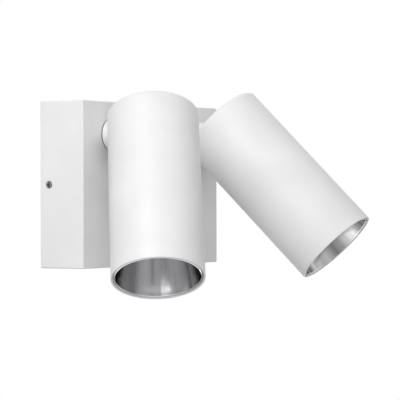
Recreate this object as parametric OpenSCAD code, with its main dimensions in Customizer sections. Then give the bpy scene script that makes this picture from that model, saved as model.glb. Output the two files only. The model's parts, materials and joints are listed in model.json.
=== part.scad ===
// Pivoting twin spotlight for a wall: a box-shaped base with two tube heads on swivel arms.
// Origin: middle of the base on the wall plane. +Y into the wall, -Y into the room, +Z up.
// Each head swings about its arm's own axis and tilts about a pair of pivot screws.

/* [Base] */
// Width of the base
base_w = 150; // [146:1:190]
// Height of the base
base_h = 100; // [96:1:130]
// Depth of the base, from the wall to its front face
base_d = 31.5; // [30:0.5:40]
// Wall of the cover
cover_wall = 1.8; // [1.5:0.1:2.2]
// Radius of the cover's long edges
cover_edge_r = 0.8; // [0.3:0.1:1.5]

/* [Wall plate] */
// Thickness of the steel wall plate
plate_t = 1.5; // [1:0.1:2]
// Gap between the plate and the cover
plate_gap = 0.4; // [0.2:0.1:0.8]
// Height of the bent tabs that take the cover screws
tab_h = 20; // [14:1:30]
// How far the tabs reach out from the wall
tab_reach = 12; // [10:0.5:16]
// Distance of the wall fixings from the sides of the base
fixing_side = 25; // [18:0.5:33]
// Width of a fixing slot
fixing_slot_w = 4.8; // [4:0.1:6]
// Length of a fixing slot from end to end
fixing_slot_l = 14; // [9:0.5:20]
// Hole for the cable grommet
cable_hole_d = 16; // [12:0.5:17]
// Distance of the cable hole below the top edge of the base
cable_drop = 24; // [20:0.5:27]
// Height of the cable hole above the terminal block
cable_rise = 16; // [15:0.5:18]

/* [Cover screws] */
// Thread of a cover screw
cover_screw_d = 2.5; // [2:0.1:3]
// Length of a cover screw
cover_screw_l = 8; // [6:0.5:12]
// Head of a cover screw
cover_screw_head_d = 4.8; // [4:0.1:5.5]
// Height of the countersunk head
cover_screw_head_h = 1.4; // [1.1:0.1:1.7]
// Distance of the cover screws from the wall
cover_screw_out = 6.6; // [5.5:0.1:8]

/* [Arms] */
// Distance of the arm axes from the sides of the base
arm_side = 28.5; // [26:0.5:30]
// Distance of the arm axes below the top edge of the base
arm_drop = 20; // [17:0.5:24]
// Gap between the edge of a tilting head and the base, which sets how far out the pivot is
tilt_gap = 1.2; // [0.4:0.1:4]
// Diameter of the arm
arm_d = 19.5; // [18:0.5:20]
// Width of the arm across the flats at the pivot
arm_flat_w = 15.2; // [14:0.2:16]
// Room between the yoke's ears and the end of the flats
arm_flat_gap = 2; // [1:0.5:4]
// Bore of the arm for the lead
arm_bore_d = 7; // [5:0.5:7.5]
// Threaded spigot of the arm
spigot_d = 12; // [10:0.5:13]
// How far the spigot shows past its nut
spigot_past_nut = 1.5; // [0.5:0.5:2]
// Depth of the flat that keys the stop washer
spigot_flat_in = 0.8; // [0.4:0.1:1.2]

/* [Arm washers and nut] */
// Thickness of the friction washer
friction_washer_t = 0.5; // [0.3:0.1:1]
// How far the friction washer stays inside the arm's edge
friction_washer_in = 0.4; // [0.3:0.1:1]
// Outer diameter of the disc spring
disc_spring_d = 19; // [17:0.5:21]
// Thickness of the disc spring
disc_spring_t = 0.5; // [0.3:0.1:0.7]
// Height of the disc spring
disc_spring_h = 1; // [0.8:0.1:1.4]
// Outer diameter of the stop washer
stop_washer_d = 18; // [16:0.5:20]
// Thickness of the stop washer
stop_washer_t = 1; // [0.6:0.1:1.5]
// Width of the stop washer's finger
stop_finger_w = 3; // [2:0.5:4]
// Diameter of the stop post inside the cover
stop_post_d = 3; // [2:0.5:4]
// Gap between the post and the corners of the nut
stop_post_gap = 0.3; // [0.2:0.1:0.6]
// Height of the nut
swivel_nut_h = 4; // [3:0.5:5]
// Width of the nut across its flats
swivel_nut_w = 18; // [16:0.5:19]

/* [Pivot] */
// Shoulder of a pivot screw
pivot_d = 4; // [3.5:0.1:5]
// Thread of a pivot screw
pivot_thread_d = 3; // [2.5:0.1:3.4]
// Length of the thread
pivot_thread_l = 3.6; // [2.5:0.1:3.8]
// Head of a pivot screw
pivot_head_d = 7; // [6:0.5:9]
// Height of the head
pivot_head_h = 2.2; // [1.5:0.1:3]
// Outer diameter of a pivot washer
pivot_washer_d = 10; // [8:0.5:12]
// Thickness of a pivot washer
pivot_washer_t = 0.5; // [0.3:0.1:1]

/* [Heads] */
// Outer diameter of a head
head_d = 54.5; // [50:0.5:55.5]
// Length of a head
head_l = 110.5; // [100:0.5:140]
// Wall of the tube
head_wall = 1.2; // [0.8:0.1:2]
// Thickness of the closed end
head_cap_t = 2; // [1.2:0.1:3]
// Outer rounding of the closed end
head_round_r = 3; // [2.2:0.1:5]
// Distance of the pivot below the closed end
pivot_drop = 14.5; // [13.5:0.1:15.8]
// Gap between the arm and the slot it moves in
slot_gap = 0.4; // [0.3:0.1:1]

/* [Yoke] */
// Thickness of the yoke
yoke_t = 2; // [1.5:0.1:3]
// Gap between the arm and the heads of the yoke screws
yoke_gap = 1.45; // [0.8:0.05:2]
// Width of an ear
yoke_ear_w = 12; // [9:0.5:13]
// Length of the yoke's plate
yoke_l = 36; // [34:1:42]
// Distance between the two yoke screws
yoke_screw_spacing = 26; // [23:0.5:27]

/* [Heat sink] */
// Length of the heat sink
sink_l = 22; // [16:1:30]
// Gap between the heat sink and the tube
sink_gap = 0.25; // [0.1:0.05:0.5]
// Diameter of its core
sink_core_d = 32; // [31:1:40]
// Thickness of its plate at the light's end
sink_plate_t = 5; // [3:0.5:8]
// Number of fins
fin_count = 24; // [12:2:28]
// Thickness of a fin
fin_t = 1.4; // [1:0.1:1.8]
// Width of the block that takes the tube screw
sink_block_w = 8; // [6:0.5:10]

/* [Light source] */
// Distance of the board's edge from the tube
led_board_in = 6.05; // [5.5:0.05:9]
// Thickness of the board
led_board_t = 1.6; // [1:0.1:2]
// Thickness of the thermal pad
thermal_pad_t = 0.5; // [0.3:0.1:1]
// Diameter of the light-giving chip
led_chip_d = 14; // [9:0.5:15]
// Height of the chip
led_chip_h = 0.8; // [0.5:0.1:1.4]
// Gap between the board's holder and the tube
led_holder_gap = 1.05; // [0.5:0.05:1.2]
// Height of the holder above the board
led_holder_h = 5; // [3:0.5:7]
// Opening of the holder
led_holder_open_d = 17; // [16:0.5:19]

/* [Reflector] */
// Thickness of the reflector
reflector_t = 0.8; // [0.6:0.1:1.2]
// Inner diameter at its neck
reflector_neck_d = 17; // [14:0.5:20]
// Gap between its mouth and the tube
lip_gap = 0.45; // [0.2:0.05:0.8]
// Length of the straight rim at its mouth
lip_t = 0.8; // [0.5:0.1:1.5]
// How far the rim sits inside the mouth of the tube
lip_in = 0.4; // [0.2:0.1:1]

/* [Driver] */
// Distance of the base leads from the driver's ends, which sets its width
driver_side = 6.5; // [5.5:0.5:8]
// Depth of the driver
driver_d = 17; // [15:0.5:18]
// Gap between the driver and the wall plate
driver_out = 5.5; // [4:0.5:6]
// Wall of the driver's case and lid
driver_wall = 1.5; // [1:0.1:2]
// Length of the case's screw ears
driver_ear_l = 8; // [7:0.5:9]
// Height of the ears
driver_ear_h = 16; // [10:1:20]
// Gap between the driver and the bottom wall of the cover
driver_gap = 4.2; // [2:0.2:5]
// Diameter of the posts that carry the driver
driver_post_d = 7; // [5.5:0.5:7.5]

/* [Terminal block] */
// Distance between two poles
pole_pitch = 10; // [9:0.5:12]
// Height of the block
block_h = 16; // [15:0.5:17]
// Depth of the block
block_d = 17; // [16:0.5:18]
// Gap between the block and the driver
block_gap = 4; // [3:0.5:5]
// Distance of the wire ways from the plate
wire_way_out = 9; // [8.6:0.1:9.4]
// Outer diameter of a brass clamp
clamp_d = 6.4; // [6:0.1:7]
// Bore of a brass clamp
clamp_bore_d = 3.6; // [3:0.1:4]

/* [Wiring] */
// Diameter of a head's lead
lead_d = 2.6; // [2:0.1:3.5]
// Diameter of a mains wire
mains_wire_d = 2.2; // [1.8:0.1:2.8]
// Distance of the base leads from the driver's lid
lead_in_driver = 4.8; // [3:0.1:6]
// Bend of the earth wire
earth_bend_r = 3; // [2.5:0.1:3.3]
// Bore of the cable grommet
grommet_bore_d = 8; // [6:0.5:9]
// Flange of the cable grommet
grommet_flange_d = 20; // [18.5:0.5:22]
// Thickness of the flange
grommet_flange_t = 1.5; // [1:0.1:2]

/* [Small screws] */
// Thread of the small screws
screw_d = 3; // [2.5:0.1:3.2]
// Head of the small screws
screw_head_d = 5.5; // [5:0.1:6]
// Height of that head
screw_head_h = 1.8; // [1.4:0.1:2]

/* [Pose] */
// Swing of the left head from straight down, outwards is negative
left_swing_angle = -23.8; // [-175:0.1:10]
// Tilt of the left head away from the wall
left_tilt_angle = 16.7; // [0:0.1:90]
// Swing of the right head from straight down, outwards is positive
right_swing_angle = 12.1; // [-10:0.1:175]
// Tilt of the right head away from the wall
right_tilt_angle = 42.5; // [0:0.1:90]

/* [Hidden] */
side_signs = [-1, 1];
$fn = 96;

// Overrun of every cut
cut = 0.6;
// Clearance of a thread, a pin or a washer in its hole
fit_gap = 0.05;
// Radial clearance of the spigot in the cover and of the ears on the pivot screws
running_gap = 0.08;
// Gap left between two faces that slide on each other
slide_gap = 0.05;
// Gap between the ends of two leads that turn against each other
lead_end_gap = 0.3;
// How far a head's leads stop short of the pivot centre
lead_pivot_gap = 1.7;
// Tube screw: the length of its thread, and the depth of its flat seat in the tube
tube_screw_l = 9;
spot_face_in = 0.2;
// Depth of the yoke screws' threads in the heat sink
sink_thread_l = 7;
// How far the driver screws end before the cover's wall
driver_screw_gap = 0.7;
// Earth tag: its plate, its barrel and its place beside the block
earth_tag_t = 0.8;
earth_tag_d = 8;
earth_barrel_d = 3.4;
earth_barrel_l = 6;
earth_side = 13;
earth_rise = 10;
// How far the wires reach into the block
wire_in = 4;
// Circuit board of the driver and its parts
driver_board_t = 1.6;
driver_board_gap = 0.5;
transformer_w = 20;
transformer_gap = 4.5;
transformer_out = 9;
capacitor_d = 8;
capacitor_l = 14;
capacitor_x = 30;
connector_w = 6;
connector_h = 7;
// Poles of the terminal block, counted from its middle one, and those that feed the driver
poles = [-1, 0, 1];
driver_poles = [-1, 0];
// Wells and towers of the terminal block, and how far its screws sit below their rims
block_slab_d = 13;
block_tower_d = 7;
block_well_d = 4;
terminal_screw_in = 1;
block_screw_head_d = 4;
// Head of a holder screw, which stays inside the tube
holder_screw_head_d = 4.5;
// Recess of a screw head as shares of the head
recess_width_share = 0.2;
recess_length_share = 0.62;
recess_depth_share = 0.6;
slot_length_share = 2;
// Steps of the reflector's curve
reflector_steps = 14;

// Colours
powder_white = "whitesmoke";
zinc_steel = "silver";
bright_steel = "lightgray";
dark_plastic = "dimgray";

// Derived places of the base
front_y = -base_d;
inner_y = front_y + cover_wall;
inner_w = base_w - 2 * cover_wall;
inner_h = base_h - 2 * cover_wall;
plate_w = inner_w - 2 * plate_gap;
plate_h = inner_h - 2 * plate_gap;
fixing_spacing = base_w - 2 * fixing_side;
arm_spacing = base_w - 2 * arm_side;
arm_z = base_h / 2 - arm_drop;
driver_w = arm_spacing + 2 * driver_side;
cable_z = base_h / 2 - cable_drop;
block_top_z = cable_z - cable_rise;
block_z = block_top_z - block_h / 2;
driver_top_z = block_top_z - block_h - block_gap;
driver_h = driver_top_z + inner_h / 2 - driver_gap;
driver_z = driver_top_z - driver_h / 2;
driver_back_y = -plate_t - driver_out;
driver_front_y = driver_back_y - driver_d;
driver_post_h = driver_front_y - inner_y;
driver_post_x = (driver_w + driver_ear_l) / 2;
driver_screw_l = driver_wall + driver_post_h - driver_screw_gap;
lead_run_y = driver_back_y - driver_wall - lead_in_driver;
block_w = len(poles) * pole_pitch;
wire_way_y = -plate_t - wire_way_out;
lead_foot_z = driver_top_z - driver_wall - driver_board_gap;

// Derived places along an arm, measured from the pivot towards the wall
head_edge_r = norm([head_d / 2 - head_round_r, pivot_drop - head_round_r]) + head_round_r;
pivot_reach = head_edge_r + tilt_gap;
arm_flat_l = yoke_ear_w / 2 + arm_flat_gap;
shoulder_y = pivot_reach - slide_gap - friction_washer_t;
cover_back_y = pivot_reach + cover_wall;
spring_y = cover_back_y + slide_gap;
stop_washer_y = spring_y + disc_spring_h;
nut_y = stop_washer_y + stop_washer_t;
spigot_end_y = nut_y + swivel_nut_h + spigot_past_nut;
ear_in_x = arm_flat_w / 2 + pivot_washer_t + slide_gap;
ear_out_x = ear_in_x + yoke_t;
lead_end_y = front_y - pivot_reach + spigot_end_y + lead_end_gap;
lead_bend_r = lead_run_y - lead_end_y;
stop_post_l = slide_gap + disc_spring_h + stop_washer_t;
stop_post_at_r = swivel_nut_w / 2 / cos(30) + stop_post_gap + stop_post_d / 2;
stop_finger_reach = stop_post_at_r + stop_post_d / 2;

// Derived places inside a head, measured up the tube from the pivot
mouth_z = pivot_drop - head_l;
head_inner_r = head_d / 2 - head_wall;
slot_r = arm_d / 2 + slot_gap;
yoke_drop = arm_d / 2 + yoke_gap + screw_head_h;
yoke_floor_z = -yoke_drop - yoke_t;
sink_end_z = yoke_floor_z - sink_l;
sink_r = head_inner_r - sink_gap;
board_back_z = sink_end_z - thermal_pad_t;
board_face_z = board_back_z - led_board_t;
holder_face_z = board_face_z - led_holder_h;
led_board_d = 2 * (head_inner_r - led_board_in);
led_holder_d = 2 * (head_inner_r - led_holder_gap);
holder_screw_spacing = (led_holder_d + led_board_d) / 2;
lip_z = mouth_z + lip_in;
lip_r = head_inner_r - lip_gap;
reflector_mouth_r = lip_r - reflector_t;
reflector_top_z = holder_face_z - reflector_t;
reflector_l = reflector_top_z - lip_z;
tube_screw_z = yoke_floor_z - sink_l / 2;

// Placing
function swing_angle(side) = side < 0 ? left_swing_angle : right_swing_angle;
function tilt_angle(side) = side < 0 ? left_tilt_angle : right_tilt_angle;

// Turns local +Z towards the wall
module to_wall() {
    rotate([-90, 0, 0]) children();
}

// Turns local +Z towards the room
module to_room() {
    rotate([90, 0, 0]) children();
}

// Turns local +Z to the side, +X for the right and -X for the left
module to_side(side) {
    rotate([0, 90 * side, 0]) children();
}

module at_arm(side) {
    translate([side * arm_spacing / 2, front_y - pivot_reach, arm_z])
        rotate([0, -swing_angle(side), 0])
            children();
}

module at_head(side) {
    at_arm(side) rotate([-tilt_angle(side), 0, 0]) children();
}

// Shared shapes
module ring(outer_d, hole_d, h) {
    difference() {
        cylinder(d = outer_d, h = h);
        translate([0, 0, -cut]) cylinder(d = hole_d, h = h + 2 * cut);
    }
}

module slot_recess(head_d, head_h, length_share) {
    slot_l = head_d * length_share;
    slot_w = head_d * recess_width_share;
    translate([-slot_l / 2, -slot_w / 2, head_h * (1 - recess_depth_share)]) cube([slot_l, slot_w, head_h]);
}

module cross_recess(head_d, head_h) {
    for (turn = [0, 90]) rotate([0, 0, turn]) slot_recess(head_d, head_h, recess_length_share);
}

// Screw with its seat at z = 0, its head above and its thread below
module pan_screw(thread_d, thread_l, head_d, head_h) {
    difference() {
        union() {
            cylinder(d = head_d, h = head_h);
            translate([0, 0, -thread_l]) cylinder(d = thread_d, h = thread_l + head_h / 2);
        }
        cross_recess(head_d, head_h);
    }
}

// Screw with its flush face at z = 0 and everything below
module countersunk_screw(thread_d, thread_l, head_d, head_h) {
    difference() {
        union() {
            translate([0, 0, -head_h]) cylinder(d1 = thread_d, d2 = head_d, h = head_h);
            translate([0, 0, -thread_l]) cylinder(d = thread_d, h = thread_l - head_h / 2);
        }
        translate([0, 0, -head_h]) cross_recess(head_d, head_h);
    }
}

// Quarter bend of a wire, from local +X round to local +Y
module quarter_bend(bend_r, wire_d) {
    rotate_extrude(angle = 90) translate([bend_r, 0]) circle(d = wire_d);
}

// Base
module rounded_plate(w, h, edge_r) {
    square([w - 2 * edge_r, h], center = true);
    square([w, h - 2 * edge_r], center = true);
    for (sx = side_signs)
        for (sz = side_signs)
            translate([sx * (w / 2 - edge_r), sz * (h / 2 - edge_r)]) circle(r = edge_r);
}

module base_cover() {
    color(powder_white) difference() {
        union() {
            difference() {
                to_room() linear_extrude(base_d) rounded_plate(base_w, base_h, cover_edge_r);
                translate([-inner_w / 2, inner_y, -inner_h / 2]) cube([inner_w, base_d, inner_h]);
            }
            for (side = side_signs) {
                translate([side * driver_post_x, inner_y - cover_wall / 2, driver_z])
                    to_wall() cylinder(d = driver_post_d, h = driver_post_h + cover_wall / 2);
                translate([side * (arm_spacing / 2 + stop_post_at_r), inner_y - cover_wall / 2, arm_z])
                    to_wall() cylinder(d = stop_post_d, h = stop_post_l + cover_wall / 2);
            }
        }
        for (side = side_signs) {
            translate([side * arm_spacing / 2, front_y - cut, arm_z])
                to_wall() cylinder(d = spigot_d + 2 * running_gap, h = cover_wall + 2 * cut);
            translate([side * driver_post_x, inner_y, driver_z])
                to_wall() cylinder(d = screw_d + 2 * fit_gap, h = driver_post_h + cut);
            translate([side * (inner_w / 2 - cut), -cover_screw_out, 0])
                to_side(side) cylinder(d = cover_screw_d + 2 * fit_gap, h = cover_wall + 2 * cut);
            translate([side * (base_w / 2 - cover_screw_head_h), -cover_screw_out, 0])
                to_side(side)
                    cylinder(d1 = cover_screw_d + 2 * fit_gap, d2 = cover_screw_head_d + 2 * fit_gap,
                             h = cover_screw_head_h);
        }
    }
}

module wall_plate() {
    color(zinc_steel) difference() {
        union() {
            translate([-plate_w / 2, -plate_t, -plate_h / 2]) cube([plate_w, plate_t, plate_h]);
            for (side = side_signs)
                translate([side * (plate_w - plate_t) / 2 - plate_t / 2, -tab_reach, -tab_h / 2])
                    cube([plate_t, tab_reach, tab_h]);
        }
        for (side = side_signs) {
            translate([side * fixing_spacing / 2, 0, 0]) fixing_slot();
            translate([side * (plate_w / 2 - plate_t - cut), -cover_screw_out, 0])
                to_side(side) cylinder(d = cover_screw_d + 2 * fit_gap, h = plate_t + 2 * cut);
            translate([side * pole_pitch / 2, cut, block_z])
                to_room() cylinder(d = screw_d + 2 * fit_gap, h = plate_t + 2 * cut);
        }
        translate([0, cut, cable_z]) to_room() cylinder(d = cable_hole_d, h = plate_t + 2 * cut);
        translate([block_w / 2 + earth_side, cut, block_top_z + earth_rise])
            to_room() cylinder(d = screw_d + 2 * fit_gap, h = plate_t + 2 * cut);
    }
}

module fixing_slot() {
    straight_l = fixing_slot_l - fixing_slot_w;
    translate([0, cut, 0]) to_room() linear_extrude(plate_t + 2 * cut) {
        square([straight_l, fixing_slot_w], center = true);
        for (side = side_signs)
            translate([side * straight_l / 2, 0]) circle(d = fixing_slot_w);
    }
}

module cover_screws() {
    color(bright_steel)
        for (side = side_signs)
            translate([side * base_w / 2, -cover_screw_out, 0])
                to_side(side)
                    countersunk_screw(cover_screw_d, cover_screw_l, cover_screw_head_d, cover_screw_head_h);
}

module cable_grommet() {
    color("black") translate([0, 0, cable_z]) to_room() difference() {
        union() {
            cylinder(d = cable_hole_d - 2 * fit_gap, h = plate_t + grommet_flange_t / 2);
            translate([0, 0, plate_t]) cylinder(d = grommet_flange_d, h = grommet_flange_t);
        }
        translate([0, 0, -cut]) cylinder(d = grommet_bore_d, h = plate_t + grommet_flange_t + 2 * cut);
    }
}

// Terminal block and the mains side
module block_places() {
    for (pole = poles)
        for (side = side_signs)
            translate([pole * pole_pitch, 0, block_z + side * block_h / 4]) children();
}

module terminal_block() {
    color("ivory") difference() {
        union() {
            translate([-block_w / 2, -plate_t - block_slab_d, block_z - block_h / 2])
                cube([block_w, block_slab_d, block_h]);
            block_places()
                translate([0, -plate_t - block_slab_d / 2, 0])
                    to_room() cylinder(d = block_tower_d, h = block_d - block_slab_d / 2);
        }
        for (pole = poles)
            translate([pole * pole_pitch, wire_way_y, block_z - block_h / 2 - cut])
                cylinder(d = clamp_d + 2 * fit_gap, h = block_h + 2 * cut);
        block_places()
            translate([0, wire_way_y, 0]) to_room() cylinder(d = block_well_d, h = block_d);
        for (side = side_signs)
            translate([side * pole_pitch / 2, cut - plate_t, block_z])
                to_room() cylinder(d = screw_d + 2 * fit_gap, h = block_d + cut);
    }
}

module terminal_clamps() {
    color("goldenrod")
        for (pole = poles)
            difference() {
                translate([pole * pole_pitch, wire_way_y, block_z - block_h / 2])
                    ring(clamp_d, clamp_bore_d, block_h);
                for (side = side_signs)
                    translate([pole * pole_pitch, wire_way_y, block_z + side * block_h / 4])
                        to_room() cylinder(d = screw_d + 2 * fit_gap, h = clamp_d);
            }
}

// Clamp screws reach down to the wires and stay below the rims of their wells
module terminal_screws() {
    screw_l = block_d - wire_way_out - mains_wire_d / 2 - terminal_screw_in;
    color(bright_steel)
        block_places()
            translate([0, wire_way_y - mains_wire_d / 2, 0])
                to_room() difference() {
                    cylinder(d = screw_d, h = screw_l);
                    translate([0, 0, screw_l - screw_head_h])
                        slot_recess(screw_d, screw_head_h, slot_length_share);
                }
}

module terminal_fixing_screws() {
    color(zinc_steel)
        for (side = side_signs)
            translate([side * pole_pitch / 2, -plate_t - block_slab_d, block_z])
                to_room() pan_screw(screw_d, block_slab_d + plate_t, block_screw_head_d, screw_head_h);
}

module earth_tag() {
    color(zinc_steel)
        translate([block_w / 2 + earth_side, -plate_t, block_top_z + earth_rise]) {
            to_room() ring(earth_tag_d, screw_d + 2 * fit_gap, earth_tag_t);
            translate([-earth_tag_d / 2 - earth_barrel_l, -earth_barrel_d / 2, 0])
                to_side(1) ring(earth_barrel_d, mains_wire_d, earth_barrel_l + cut);
        }
}

module earth_screw() {
    color("goldenrod")
        translate([block_w / 2 + earth_side, -plate_t - earth_tag_t, block_top_z + earth_rise])
            to_room() pan_screw(screw_d, plate_t + earth_tag_t, screw_head_d, screw_head_h);
}

// Runs from the tag's barrel to the side, out from the plate and down into the third pole
module earth_lead() {
    tag_end_x = block_w / 2 + earth_side - (earth_tag_d + earth_barrel_l) / 2;
    barrel_y = -plate_t - earth_barrel_d / 2;
    lead_z = block_top_z + earth_rise;
    color("green") {
        translate([pole_pitch + earth_bend_r, barrel_y, lead_z])
            to_side(1) cylinder(d = mains_wire_d, h = tag_end_x - pole_pitch - earth_bend_r);
        translate([pole_pitch + earth_bend_r, barrel_y - earth_bend_r, lead_z])
            rotate([0, 0, 90]) quarter_bend(earth_bend_r, mains_wire_d);
        translate([pole_pitch, wire_way_y + earth_bend_r, lead_z])
            to_wall() cylinder(d = mains_wire_d, h = barrel_y - wire_way_y - 2 * earth_bend_r);
        translate([pole_pitch, wire_way_y + earth_bend_r, lead_z - earth_bend_r])
            rotate([90, 0, -90]) quarter_bend(earth_bend_r, mains_wire_d);
        translate([pole_pitch, wire_way_y, block_top_z - wire_in])
            cylinder(d = mains_wire_d, h = earth_rise - earth_bend_r + wire_in);
    }
}

// Driver
module driver_case() {
    color(dark_plastic) difference() {
        union() {
            translate([-driver_w / 2, driver_front_y, driver_z - driver_h / 2])
                cube([driver_w, driver_d - driver_wall, driver_h]);
            translate([-driver_w / 2 - driver_ear_l, driver_front_y, driver_z - driver_ear_h / 2])
                cube([driver_w + 2 * driver_ear_l, driver_wall, driver_ear_h]);
        }
        translate([0, driver_front_y + driver_wall + driver_d / 2, driver_z])
            cube([driver_w - 2 * driver_wall, driver_d, driver_h - 2 * driver_wall], center = true);
        for (side = side_signs) {
            translate([side * driver_post_x, driver_front_y - cut, driver_z])
                to_wall() cylinder(d = screw_d + 2 * fit_gap, h = driver_wall + 2 * cut);
            translate([side * arm_spacing / 2, lead_run_y, driver_top_z - driver_wall - cut])
                cylinder(d = lead_d + 2 * fit_gap, h = driver_wall + 2 * cut);
        }
        for (pole = driver_poles)
            translate([pole * pole_pitch, wire_way_y, driver_top_z - driver_wall - cut])
                cylinder(d = mains_wire_d + 2 * fit_gap, h = driver_wall + 2 * cut);
    }
}

module driver_lid() {
    color(dark_plastic)
        translate([-driver_w / 2, driver_back_y - driver_wall, driver_z - driver_h / 2])
            cube([driver_w, driver_wall, driver_h]);
}

// Board with its transformer, two capacitors and a connector under each lead
module driver_board() {
    board_w = driver_w - 2 * driver_wall - 2 * driver_board_gap;
    board_h = driver_h - 2 * driver_wall - 2 * driver_board_gap;
    board_back_y = driver_front_y + driver_wall + driver_board_gap;
    part_y = board_back_y + driver_board_t;
    connector_d = driver_back_y - driver_wall - driver_board_gap - part_y;
    connector_z = driver_top_z - driver_wall - driver_board_gap - connector_h;
    input_w = connector_w + pole_pitch;
    transformer_z = driver_z - board_h / 2 + driver_board_gap;
    transformer_h = connector_z - transformer_gap - transformer_z;
    color("seagreen") {
        translate([-board_w / 2, board_back_y, driver_z - board_h / 2])
            cube([board_w, driver_board_t, board_h]);
        translate([-transformer_w / 2, part_y, transformer_z])
            cube([transformer_w, transformer_out, transformer_h]);
        translate([-(pole_pitch + input_w) / 2, part_y, connector_z])
            cube([input_w, connector_d, connector_h]);
        for (side = side_signs) {
            translate([side * capacitor_x - capacitor_l / 2, part_y + capacitor_d / 2, driver_z])
                to_side(1) cylinder(d = capacitor_d, h = capacitor_l);
            translate([side * arm_spacing / 2 - connector_w / 2, part_y, connector_z])
                cube([connector_w, connector_d, connector_h]);
        }
    }
}

module driver_screws() {
    color(zinc_steel)
        for (side = side_signs)
            translate([side * driver_post_x, driver_front_y + driver_wall, driver_z])
                to_wall() pan_screw(screw_d, driver_screw_l, screw_head_d, screw_head_h);
}

module driver_input_leads() {
    color("sienna")
        for (pole = driver_poles)
            translate([pole * pole_pitch, wire_way_y, lead_foot_z])
                cylinder(d = mains_wire_d, h = driver_top_z - lead_foot_z + block_gap + wire_in);
}

// Rises from the driver and bends into the spigot of an arm
module base_lead(side) {
    color("white") translate([side * arm_spacing / 2, 0, 0]) {
        translate([0, lead_run_y, lead_foot_z])
            cylinder(d = lead_d, h = arm_z - lead_bend_r - lead_foot_z);
        translate([0, lead_end_y, arm_z - lead_bend_r])
            rotate([90, 0, 90]) quarter_bend(lead_bend_r, lead_d);
    }
}

// Arm, drawn from the pivot centre towards the wall
module swivel_arm() {
    color(powder_white) difference() {
        union() {
            sphere(d = arm_d);
            to_wall() cylinder(d = arm_d, h = shoulder_y);
            to_wall() cylinder(d = spigot_d, h = spigot_end_y);
        }
        for (side = side_signs)
            translate([side * (arm_flat_w + arm_d) / 2 - arm_d / 2, -arm_d, -arm_d])
                cube([arm_d, arm_d + arm_flat_l, 2 * arm_d]);
        translate([0, -arm_d, 0]) to_wall() cylinder(d = arm_bore_d, h = arm_d + spigot_end_y + cut);
        translate([0, 0, -arm_d]) cylinder(d = arm_bore_d, h = arm_d);
        translate([-arm_bore_d / 2, -arm_d, -arm_d]) cube([arm_bore_d, arm_d, arm_d]);
        translate([-arm_d / 2, 0, 0]) to_side(1) cylinder(d = pivot_thread_d + 2 * fit_gap, h = arm_d);
        translate([-spigot_d / 2, cover_back_y + slide_gap, spigot_d / 2 - spigot_flat_in])
            cube([spigot_d, spigot_end_y, spigot_d]);
    }
}

module friction_washer() {
    color("black")
        translate([0, shoulder_y, 0])
            to_wall()
                ring(arm_d - 2 * friction_washer_in, spigot_d + 2 * fit_gap, friction_washer_t);
}

module disc_spring() {
    hole_r = spigot_d / 2 + fit_gap;
    rim_r = disc_spring_d / 2;
    color(bright_steel)
        translate([0, spring_y, 0])
            to_wall()
                rotate_extrude()
                    polygon([[hole_r, disc_spring_h - disc_spring_t], [rim_r, 0],
                             [rim_r, disc_spring_t], [hole_r, disc_spring_h]]);
}

module stop_washer() {
    color(zinc_steel)
        translate([0, stop_washer_y, 0]) difference() {
            union() {
                to_wall() cylinder(d = stop_washer_d, h = stop_washer_t);
                translate([-stop_finger_w / 2, 0, 0]) cube([stop_finger_w, stop_washer_t, stop_finger_reach]);
            }
            difference() {
                translate([0, -cut, 0])
                    to_wall() cylinder(d = spigot_d + 2 * fit_gap, h = stop_washer_t + 2 * cut);
                translate([-spigot_d, -2 * cut, spigot_d / 2 - spigot_flat_in + fit_gap])
                    cube([2 * spigot_d, stop_washer_t + 4 * cut, spigot_d]);
            }
        }
}

module swivel_nut() {
    color(bright_steel)
        translate([0, nut_y, 0])
            to_wall()
                difference() {
                    cylinder(d = swivel_nut_w / cos(30), h = swivel_nut_h, $fn = 6);
                    translate([0, 0, -cut]) cylinder(d = spigot_d + 2 * fit_gap, h = swivel_nut_h + 2 * cut);
                }
}

module pivot_screws() {
    shoulder_l = ear_out_x + slide_gap - arm_flat_w / 2;
    color(bright_steel)
        for (side = side_signs)
            translate([side * arm_flat_w / 2, 0, 0])
                to_side(side) {
                    translate([0, 0, -pivot_thread_l])
                        cylinder(d = pivot_thread_d, h = pivot_thread_l + shoulder_l / 2);
                    cylinder(d = pivot_d, h = shoulder_l + pivot_head_h / 4);
                    translate([0, 0, shoulder_l])
                        difference() {
                            cylinder(d = pivot_head_d, h = pivot_head_h);
                            cross_recess(pivot_head_d, pivot_head_h);
                        }
                }
}

module pivot_washers() {
    color(dark_plastic)
        for (side = side_signs)
            translate([side * arm_flat_w / 2, 0, 0])
                to_side(side) ring(pivot_washer_d, pivot_d + 2 * fit_gap, pivot_washer_t);
}

module arm_lead() {
    color("white")
        translate([0, lead_pivot_gap, 0]) to_wall() cylinder(d = lead_d, h = spigot_end_y - lead_pivot_gap);
}

// Head, drawn about the pivot centre with the mouth down
module tube_blank(r, l, round_r) {
    rotate_extrude() {
        square([r, l - round_r]);
        square([r - round_r, l]);
        translate([r - round_r, l - round_r]) quarter_disc(round_r);
    }
}

module quarter_disc(r) {
    intersection() {
        circle(r = r);
        square([r, r]);
    }
}

module head_tube() {
    color(powder_white) difference() {
        translate([0, 0, mouth_z]) tube_blank(head_d / 2, head_l, head_round_r);
        translate([0, 0, mouth_z - cut])
            tube_blank(head_inner_r, head_l - head_cap_t + cut, head_round_r - head_wall);
        to_wall() cylinder(r = slot_r, h = head_d);
        cylinder(r = slot_r, h = head_d);
        translate([-slot_r, 0, 0]) cube([2 * slot_r, head_d, head_d]);
        translate([0, 0, tube_screw_z]) to_wall() cylinder(d = screw_d + 2 * fit_gap, h = head_d);
        translate([0, head_d / 2 - spot_face_in, tube_screw_z])
            to_wall() cylinder(d = screw_head_d + 2 * fit_gap, h = head_d);
    }
}

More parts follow.
